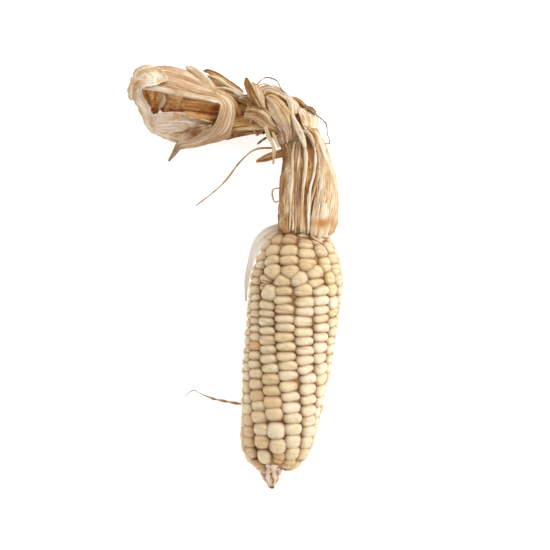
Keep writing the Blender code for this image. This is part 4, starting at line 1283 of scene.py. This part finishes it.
LOOP_WALLS = (
    # The wall round the left end, below the crumpled cap.
    ("loop_leaf_inner", "pale", "husk_pale", 107, -1.6,
     [(-15, 70, 4), (-22, 68.4, 2), (-30, 67.8, 1), (-37.1, 70.4, 0.8), (-41.8, 72.4, 0.8), (-45, 77.5, 0.8),
      (-47.4, 82.2, 0.8), (-50.2, 86.2, 1), (-53.2, 91.4, 2), (-53.4, 95.6, 3)],
     [(-14, 74.4, 14), (-21, 74.2, 16), (-28.5, 74.2, 19), (-35, 76.6, 21.5), (-39.6, 78.8, 23),
      (-41.4, 81.6, 24), (-42.2, 84.8, 25), (-44.6, 88.4, 26), (-46.6, 91.8, 27), (-46, 95.2, 28)]),
    # The pinkish lobe that lies along the bottom of the mouth.
    ("loop_lobe", "rose", "husk_pale", 119, -2.4,
     [(-10.4, 74, 20), (-17, 72.8, 20), (-24, 71.6, 18), (-31, 71, 15), (-36, 72, 14), (-39.8, 74.8, 15),
      (-41, 77.4, 19)],
     [(-10.4, 75.6, 24), (-17, 77.8, 26), (-24, 80.9, 27.5), (-31, 81.6, 28.5), (-36, 81.1, 28.5),
      (-39.4, 79.8, 26.5), (-41.2, 78.2, 21)]),
)

MOUTH_LEAVES = (
    ("loop_floor_leaf", "amber", "husk_brown", 125, 0.5,
     [(3.6, 89.6, 8.6), (-6, 91.6, 6), (-22, 94.6, 3.4), (-37, 92, 4)],
     [(3.6, 76.4, 7.8), (-6, 75.2, 5.4), (-22, 75.2, 3.4), (-36, 79, 4)]),
    ("mouth_leaf_right", "golden", "husk_brown", 131, -2.5,
     [(-7.4, 79.4, 15), (-13.5, 78.8, 19), (-20, 79.6, 20), (-27, 80.8, 19)],
     [(-8, 88.6, 26), (-13.5, 89.6, 28.5), (-20, 90.4, 29), (-28, 91.6, 28.5)]),
    ("mouth_leaf_left", "golden", "husk_tan", 137, -2,
     [(-24, 81, 21), (-29, 81, 20), (-33.6, 81.6, 18), (-39.6, 82.6, 15)],
     [(-24.4, 89.8, 29), (-29, 90.6, 29.5), (-33.6, 91.6, 30), (-37.6, 93, 30)]),
    ("mouth_crumple", "golden", "husk_tan", 157, 1.2,
     [(-37, 82, 19), (-33.6, 81.6, 21), (-30.4, 81.4, 22), (-26.6, 81.8, 22)],
     [(-34.6, 91.6, 29.6), (-31.6, 90.8, 31), (-28.8, 90, 31), (-24.4, 89.4, 29)]),
    ("mouth_foot", "straw", "husk_tan", 155, 0.4,
     [(-28.4, 68.2, 12), (-22.5, 69, 20.2), (-17, 70.4, 25.4), (-11.6, 73, 28.4)],
     [(-30.6, 72.6, 17.6), (-24, 74.2, 22.4), (-17.4, 75, 25.4), (-10.6, 76.4, 27.4)]),
    ("mouth_pocket", "golden", "husk_brown", 143, -1.6,
     [(-47.6, 94, 26), (-46.6, 89.4, 22), (-44.2, 85.2, 19), (-43.4, 79.4, 15)],
     [(-33.6, 92.4, 31), (-34.6, 88.8, 27), (-36.4, 85.4, 22), (-37.6, 81.6, 18)]),
    ("mouth_curl", "tan", "husk_cream", 149, 0.5,
     [(-9, 84.4, 22), (-11.6, 84.2, 21), (-13.6, 81.6, 20), (-12.4, 79.8, 20)],
     [(-9.4, 82.8, 21), (-11.2, 82.6, 20), (-12.2, 81.4, 19.4), (-11.6, 80.6, 19.6)]),
)

MOUTH_STRIPS = (
    ("mouth_fold_first", "straw", "husk_tan", 3,
     [(-35.4, 90.8, 30), (-34.8, 88, 29), (-35.8, 85.4, 26), (-38, 82.8, 22)], (1.4, 2.4, 2.4, 1.6)),
    ("mouth_roll", "golden", "husk_brown", 17,
     [(-28, 81.2, 25), (-22, 80.2, 26.6), (-16, 79.2, 27), (-11, 78.9, 26), (-8.6, 79.6, 24)],
     (1.6, 3, 3.6, 3.2, 2)),
    ("mouth_roll_light", "tan", "husk_tan", 19,
     [(-26, 80.2, 27), (-19, 78.4, 27.6), (-13, 77, 27.4), (-9.6, 76.4, 26)], (0.8, 1.6, 1.8, 1)),
    ("mouth_lip", "cream", "husk_cream", 21,
     [(-46, 93.6, 27), (-39.6, 93.4, 30.8), (-33.2, 92.2, 31.9), (-24.6, 89.8, 32.9), (-14, 87.4, 32.9),
      (-8.4, 86.2, 32.6)], (1, 2.6, 3, 2.2, 1.6, 0.8)),
    ("loop_margin", "tan", "husk_tan", 23,
     [(-8, 92.8, 16), (-1.4, 87.4, 20), (2.2, 81.2, 20), (2.8, 75.4, 17), (0.6, 70.8, 12)],
     (1.4, 3, 3.6, 3.2, 1.6)),
    ("loop_bottom_roll", "tan", "husk_tan", 29,
     [(-2, 70.2, 9), (-9, 68.8, 10), (-15.6, 67.6, 9), (-21.5, 66.4, 7), (-27.4, 66.9, 6)],
     (1.6, 2.4, 2.4, 2.4, 1.4)),
    ("loop_top_leaf", "pale", "husk_pale", 31,
     [(-24.4, 105.4, 8.5), (-20, 102.6, 13), (-13.6, 96.4, 20.5), (-8.6, 90.6, 27.6), (-5.4, 85.6, 31)],
     (2, 3.6, 4.6, 4, 2.2)),
)

BACK_LEAVES = (
    ("pointed_leaf", "amber", "husk_tan", 60, 0.6,
     [(-15.8, 103.9, 4), (-13.1, 104.4, 5), (-8.8, 102.8, 6), (-4, 99.7, 8), (0.7, 96.2, 11),
      (4.6, 92.6, 14)],
     [(-15.6, 103.3, 4.5), (-12.6, 101.9, 8), (-8, 98.9, 10), (-3.2, 96.7, 12), (1.5, 93.2, 15),
      (4.6, 90.4, 17)]),
    ("striped_leaf", "beige", "husk_cream", 66, 0.6,
     [(-13.6, 101.6, 6), (-8.8, 100, 9), (-4, 96.8, 13), (2.3, 92.6, 17), (6, 89.6, 19)],
     [(-13.6, 98.6, 8), (-9.8, 94.4, 12), (-5, 91.2, 16), (1.5, 88.6, 18.5), (6.6, 86.2, 20)]),
    ("back_hollow", "brown", "husk_brown", 72, -0.8,
     [(-9, 94.4, 11), (-2, 92.2, 14), (4, 89.2, 16), (9.6, 87.4, 17)],
     [(-4, 85.6, 8), (0.6, 82.6, 9), (5, 80.6, 12), (10, 79.6, 14)]),
    # The leaf that closes the back of the throat.
    ("throat_back", "amber", "husk_brown", 90, 0.8,
     [(16, 90.4, 10), (10, 89.6, 8), (3, 90.2, 6.6), (-4, 92, 5)],
     [(16, 88.4, 20), (10, 87.4, 20), (3, 88, 17), (-4, 90, 13)]),
    ("side_leaf", "sheer", "husk_cream", 78, 0.5,
     [(22.6, 26.4, 24), (15.5, 23.6, 19), (11, 19.6, 19), (8.5, 14.6, 18), (6.5, 6.8, 16.5), (5.2, -2.3, 14),
      (5.4, -13, 11)],
     [(23, 22.6, 22), (18.6, 18.8, 16), (14.6, 14.8, 15), (11.6, 11, 14), (9, 5.6, 13), (7.6, -1.4, 12),
      (6.2, -12.6, 10.4)]),
    ("brown_flake", "amber", "husk_brown", 84, 0.5,
     [(26, 64.6, 19), (21.6, 62.8, 18.4), (17, 61.4, 17), (11.4, 58.2, 15)],
     [(25, 59.4, 18.4), (21, 58.6, 17.4), (16.6, 57.4, 16), (11, 56.8, 14.6)]),
)

BACK_STRIPS = (
    ("stripe_upper", "cream", "husk_cream", 5,
     [(-13.9, 101.3, 7), (-8.8, 99.6, 11), (-3.6, 96, 15), (2.7, 91.8, 19.6), (6.4, 88.6, 21.4)],
     (0.8, 1.3, 1.3, 1.2, 1)),
    ("stripe_lower", "cream", "husk_cream", 9,
     [(-8.8, 94.6, 13.4), (-2.5, 93.4, 17.6), (3.8, 89.8, 20.8), (7.6, 86.8, 21.6)], (0.6, 1.2, 1.3, 0.8)),
    ("hollow_rib_first", "orange", "husk_brown", 13,
     [(-4, 91.4, 15), (2, 88.6, 18), (8, 85, 20)], (1, 2, 1.6)),
    ("hollow_rib_second", "orange", "husk_brown", 19,
     [(-1.4, 88, 14), (3.4, 85, 17), (8, 82, 20)], (1, 1.8, 1.4)),
)

FIBRES = (
    ("long_strand", "beige", "husk_cream", 0.7, 1,
     [(19.4, 64.2, 16), (10.5, 63.3, 15), (3, 57.3, 13), (-4.5, 47.8, 10), (-11, 41.8, 7), (-19.5, 35.4, 3)],
     (0.5, 0.5, 0.5, 0.5, 0.4)),
    ("right_thread", "ash", "husk_brown", 0.7, 1,
     [(35.5, 85.4, 23.5), (38.5, 82.6, 24.5), (41.2, 80.3, 24), (45.5, 76.8, 22), (46.4, 74.6, 21.4),
      (47, 70.3, 20.6), (48, 67.3, 20), (47.4, 66, 20), (45.6, 66.2, 20)], (0.5, 0.42, 0.36, 0.4)),
    ("top_thread", "ash", "husk_tan", 0.7, 1,
     [(11.2, 95, 23), (13.4, 97.6, 22), (16.5, 99.2, 21), (21.2, 97.7, 21), (23.2, 94.2, 21.5),
      (24.8, 91.4, 22)], (0.35, 0.45, 0.42, 0.35)),
    ("neck_curl", "tan", "husk_cream", 0.8, 1,
     [(24.6, 43, 27), (21.6, 43.6, 25), (19.4, 42.6, 25), (19.2, 39.8, 25), (20.4, 36.8, 25),
      (22.4, 37.2, 26), (24.4, 38.4, 27)], (0.35, 0.45, 0.35)),
    ("ear_strand", "beige", "husk_tan", 0.6, 3,
     [(5.6, -65.2, 7.6), (-1, -64.3, 6.2), (-6, -63.4, 5.4), (-10, -62.6, 4.6), (-14.9, -60.9, 3.6),
      (-18.5, -59.2, 3), (-20.9, -58.1, 2.8), (-25.4, -61.2, 2.4)],
     (0.8, 0.8, 0.75, 0.7, 0.5, 0.25, 0.32, 0.25)),
    ("silk_hair", "dark", "husk_brown", 1, 1,
     [(29, 21, 39.6), (32.2, 19.2, 41.6), (36, 18.6, 42.2), (42, 16.8, 41.6), (45.4, 13.8, 41),
      (47, 11.4, 40.4)], (0.24, 0.26, 0.2)),
    ("pale_thread", "pale", "husk_cream", 0.8, 1,
     [(11.2, 94.6, 22), (15, 95.9, 22.6), (19.4, 94.6, 22.8), (23.2, 93, 22.4)], (0.4, 0.5, 0.4)),
)


# ---------------------------------------------------------------- operators

# The stage in metres: half the floor's side, the lamp, and what the camera sees. VIEW_WIDTH is what it shows
# at VIEW_HEIGHT above the floor, and VIEW_SHIFT moves it from the middle of the object. The camera's sensor
# is in millimetres.
FLOOR_REACH = 3.0
LIGHT_PLACE = (0.72, 0.50, 0.60)
LIGHT_TARGET = (0.0, 0.0, 0.02)
LIGHT_SIZE = 0.8
SENSOR_WIDTH = 36.0
VIEW_WIDTH = 0.275
VIEW_HEIGHT = 0.024
VIEW_SHIFT = (0.0205, 0.0003)


class COB_OT_kernels(bpy.types.Operator):
    """Make the kernels in their rows, each shaped by its neighbours"""

    bl_idname = "cob.kernels"
    bl_label = "Kernels"

    def execute(self, context):
        settings = settings_of(context)
        points, faces, values, skin = kernel_mesh(settings)
        piece = make_piece("kernels", points, faces, kernel_material(settings), values, skin)
        settle(piece, "kernels")
        return {"FINISHED"}


class COB_OT_cob(bpy.types.Operator):
    """Make the cob between the kernels and its bare shrivelled tip"""

    bl_idname = "cob.cob"
    bl_label = "Cob and bare tip"

    def execute(self, context):
        keys = [(-1.4, 6), (-0.6, 9.6), (1, 12.4)]
        keys += [(d, r - 2.6) for d, r in CROWN_RADIUS if 3 <= d <= 116]
        keys += [(118.6, 6)]
        piece = lathe("cob", keys, cob_material("dried_maize_cob"), 5, 0.25)
        settle(piece, "cob")
        keys = [(113.6, 8.2), (115.4, 9.4), (116.8, 9), (118, 7.4), (119.4, 5.8), (121.2, 5.2), (123, 4.6),
                (125.4, 3.3), (127.6, 1.8), (128.8, 1.2), (129.3, 0.5)]
        material = cob_material("shrivelled_cob_tip", "#8E5E40", "#F6D2B0", "#FCEAD6")
        piece = lathe("bare_tip", keys, material, 17, 0.5, sides=120, rings=90, folds=0.7,
                      sideways=((113, 0), (116, -0.8), (121, -1.8), (125, -1), (129, 0)))
        settle(piece, "bare_tip")
        return {"FINISHED"}


class COB_OT_neck(bpy.types.Operator):
    """Make the husk leaves that run from the butt end to the bend"""

    bl_idname = "cob.neck"
    bl_label = "Neck leaves"

    def execute(self, context):
        for name, kind, slot, seed, (low, high), reach in UNDER_LEAVES:
            piece = draped_leaf(
                name, [(-0.03, high), (1, high)], [(-0.03, low), (1, low)], husk(context, kind), seed, reach,
                size=(80, 80), ragged=0.02, pleats=9, ribs=34, pleat_height=(0.5, 0.8, 0.6), rib_height=0.2,
                wander=4.0)
            settle(piece, name)
        piece = draped_leaf(
            "husk_neck_right", NECK_RIGHT_LEFT, NECK_RIGHT_RIGHT, husk(context, "pale"), 53, NECK_RIGHT_REACH,
            size=(110, 120), pleats=9, ribs=30, pleat_height=(0.3, 0.8, 0.9, 0.6), rib_height=0.28,
            wander=3.0)
        settle(piece, "husk_neck_right")
        for name, kind, slot, seed, arch, route, widths in NECK_STRIPS:
            x, y, z = route[-1]
            if y < TAIL_START:
                route = route + [(x, y - TAIL_LENGTH, z - TAIL_DROP)]
            wander, dents, twist = (9.0, 0.35, 0.26) if "twist" in name else (4.0, 0.15, 0.0)
            piece = ribbon(
                name, route, widths, husk(context, kind), seed, arch, size=(96, 18), twist=twist, pleats=2,
                ribs=max(3, int(max(widths) * 1.2)), pleat_height=(0.25, 0.4), rib_height=0.2, dents=dents,
                wander=wander)
            settle(piece, name)
        return {"FINISHED"}


class COB_OT_ties(bpy.types.Operator):
    """Make the strips of leaf wound round the bend, with their loose ends"""

    bl_idname = "cob.ties"
    bl_label = "Tie strips"

    def execute(self, context):
        spot = np.linspace(-1, 1, TIE_COLUMNS)[None, :]
        turns = np.repeat(TIE_TURNS[:, None], TIE_COLUMNS, axis=1)
        for name, kind, slot, seed, share, width, slant in TIES:
            swing = np.sin(np.radians(turns)) * slant / BUNDLE_LENGTH
            place = np.clip(share + swing + width / 2 / BUNDLE_LENGTH * spot, 0, 1)
            sheet = on_bundle(place, turns, np.full(place.shape, TIE_REACH))
            sheet, folds = rumple(sheet, seed, 4, 9, (0.5, 0.7, 0.5), 0.2)
            settle(leaf_piece(name, sheet, husk(context, kind), folds, TIE_THICKNESS), name)
        lay_strips(context, BEND_STRIPS, size=(56, 18), pleats=2, ribs=7, pleat_height=(0.35,),
                   rib_height=0.22, arch=0.45, dents=0.25, draped=False, wander=3.0)
        lay_leaves(context, KNOT_LEAVES, size=(70, 54), pleats=7, ribs=21, pleat_height=(0.4, 0.45, 0.35),
                   rib_height=0.24, dents=0.3)
        lay_leaves(context, FLAP_LEAVES, size=(70, 40), pleats=3, ribs=7, pleat_height=(0.4, 0.6),
                   rib_height=0.14, dents=0.5)
        lay_strands(context, STUBS, seed=11, sides=10, steps=50)
        return {"FINISHED"}


class COB_OT_loop(bpy.types.Operator):
    """Make the leaf ends wound into an open loop"""

    bl_idname = "cob.loop"
    bl_label = "Loop leaves"

    def execute(self, context):
        lay_leaves(context, LOOP_TOP, size=(160, 92), pleats=7, ribs=34,
                   pleat_height=(0.7, 0.7, 0.6, 0.26, 0.26, 0.4), rib_height=0.16, dents=0.6, wander=2.6)
        lay_leaves(context, LOOP_CAP, size=(110, 70), pleats=6, ribs=14, pleat_height=(0.8, 0.7, 0.3),
                   rib_height=0.24, dents=0.5, wander=4.0, crumple=0.6)
        lay_leaves(context, LOOP_WALLS, size=(120, 62), pleats=5, ribs=14, pleat_height=(0.5, 0.7),
                   rib_height=0.24, dents=0.7, wander=4.0, crumple=0.45)
        lay_leaves(context, MOUTH_LEAVES, size=(64, 46), pleats=4, ribs=7, pleat_height=(0.7, 0.8),
                   rib_height=0.14, dents=1.2, wander=3.5, crumple=0.9)
        lay_strips(context, MOUTH_STRIPS, size=(60, 16), pleats=2, ribs=5, pleat_height=(0.3,),
                   rib_height=0.2, arch=0.9, dents=0.3, draped=False, wander=4.0)
        return {"FINISHED"}


class COB_OT_back_leaves(bpy.types.Operator):
    """Make the pointed leaves behind the loop and the sliver beside the ear"""

    bl_idname = "cob.back_leaves"
    bl_label = "Back leaves"

    def execute(self, context):
        lay_leaves(context, BACK_LEAVES, size=(64, 28), pleats=3, ribs=8, pleat_height=(0.4,),
                   rib_height=0.16, dents=0.3)
        lay_strips(context, BACK_STRIPS, size=(70, 14), pleats=1, ribs=3, pleat_height=(0.2,),
                   rib_height=0.15, arch=0.5, draped=False)
        return {"FINISHED"}


class COB_OT_fibres(bpy.types.Operator):
    """Make the loose threads and strands"""

    bl_idname = "cob.fibres"
    bl_label = "Loose fibres"

    def execute(self, context):
        lay_strands(context, FIBRES, seed=23, sides=8, steps=90)
        return {"FINISHED"}


class COB_OT_hidden_parts(bpy.types.Operator):
    """Give the stalk and the inner leaves their dry surface"""

    bl_idname = "cob.hidden_parts"
    bl_label = "Stalk and inner leaves"

    def execute(self, context):
        stalk = cob_material("dried_maize_stalk")
        for node in ("stalk", "inner_leaf_top", "inner_leaf_left", "inner_leaf_bottom"):
            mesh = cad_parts[node].data
            mesh.materials.clear()
            mesh.materials.append(stalk if node == "stalk" else husk(context, "dark"))
        return {"FINISHED"}


class COB_OT_stage(bpy.types.Operator):
    """Make the floor, the light and the camera that looks straight down"""

    bl_idname = "cob.stage"
    bl_label = "Stage"

    def execute(self, context):
        settings = settings_of(context)
        scene = context.scene
        mesh = bpy.data.meshes.new("floor")
        corners = ((-1, -1), (1, -1), (1, 1), (-1, 1))
        corners = [(x * FLOOR_REACH, y * FLOOR_REACH, FLOOR_Z) for x, y in corners]
        mesh.from_pydata(corners, [], [(0, 1, 2, 3)])
        # Painted board, rolled on matt: even and pale, with a faint grain and no gloss.
        material, tree = empty_material("matt_studio_floor")
        place = add_node(tree, "TexCoord").outputs["Object"]
        grain = add_node(tree, "TexNoise", {"Vector": place, "Scale": 300.0})
        bump = add_node(tree, "Bump", {"Height": grain, "Strength": 0.05, "Distance": 0.0002})
        shader = add_node(tree, "BsdfPrincipled", {
            "Base Color": (*settings.floor_colour, 1.0), "Normal": bump, "Roughness": 0.9,
            "Specular IOR Level": 0.1, "Emission Color": (*settings.floor_colour, 1.0),
            "Emission Strength": 0.52})
        add_node(tree, "OutputMaterial", {"Surface": shader})
        mesh.materials.append(material)
        floor = bpy.data.objects.new("floor", mesh)
        scene.collection.objects.link(floor)

        world = bpy.data.worlds.new("studio")
        scene.world = world
        world.use_nodes = True
        sky = world.node_tree.nodes["Background"]
        sky.inputs["Color"].default_value = (1.0, 1.0, 1.0, 1.0)
        sky.inputs["Strength"].default_value = settings.sky_strength

        lamp = bpy.data.lights.new("soft_main_light", "AREA")
        lamp.shape = "DISK"
        lamp.size = LIGHT_SIZE
        lamp.energy = settings.key_power
        light = bpy.data.objects.new("soft_main_light", lamp)
        light.location = LIGHT_PLACE
        scene.collection.objects.link(light)
        aim(light, LIGHT_TARGET)

        low, high = CAD_BOUNDS
        lens = bpy.data.cameras.new("camera")
        lens.lens = settings.lens
        lens.sensor_width = SENSOR_WIDTH
        lens.clip_start = 0.05
        lens.clip_end = 20.0
        camera = bpy.data.objects.new("camera", lens)
        centre_x, centre_y = ((low[i] + high[i]) / 2 + VIEW_SHIFT[i] for i in (0, 1))
        distance = VIEW_WIDTH * settings.lens / SENSOR_WIDTH
        camera.location = (centre_x, centre_y, VIEW_HEIGHT + distance)
        scene.collection.objects.link(camera)
        scene.camera = camera
        scene.view_settings.view_transform = "Standard"
        scene.view_settings.look = "None"
        return {"FINISHED"}


def aim(item, target):
    """Turn a lamp so that it points at a place."""
    x, y, z = unit(np.array(target) - np.array(item.location))
    item.rotation_euler = (math.acos(-z), 0.0, math.atan2(-x, y))


STEPS = (
    COB_OT_stage, COB_OT_kernels, COB_OT_cob, COB_OT_hidden_parts, COB_OT_neck, COB_OT_ties, COB_OT_loop,
    COB_OT_back_leaves, COB_OT_fibres,
)


class COB_PT_panel(bpy.types.Panel):
    """Steps that make the corn cob"""

    bl_idname = "COB_PT_panel"
    bl_label = "Corn cob"
    bl_space_type = "VIEW_3D"
    bl_region_type = "UI"
    bl_category = "Corn cob"

    def draw(self, context):
        for step in STEPS:
            self.layout.operator(step.bl_idname)
        settings = settings_of(context)
        for key in CobSettings.__annotations__:
            self.layout.prop(settings, key)


CLASSES = (CobSettings, *STEPS, COB_PT_panel)


def register():
    for item in CLASSES:
        bpy.utils.register_class(item)
    bpy.types.Scene.corn_cob = PointerProperty(type=CobSettings)


def unregister():
    del bpy.types.Scene.corn_cob
    for item in reversed(CLASSES):
        bpy.utils.unregister_class(item)


def main():
    register()
    for step in STEPS:
        group, name = step.bl_idname.split(".")
        getattr(getattr(bpy.ops, group), name)()


if __name__ == "__main__":
    main()
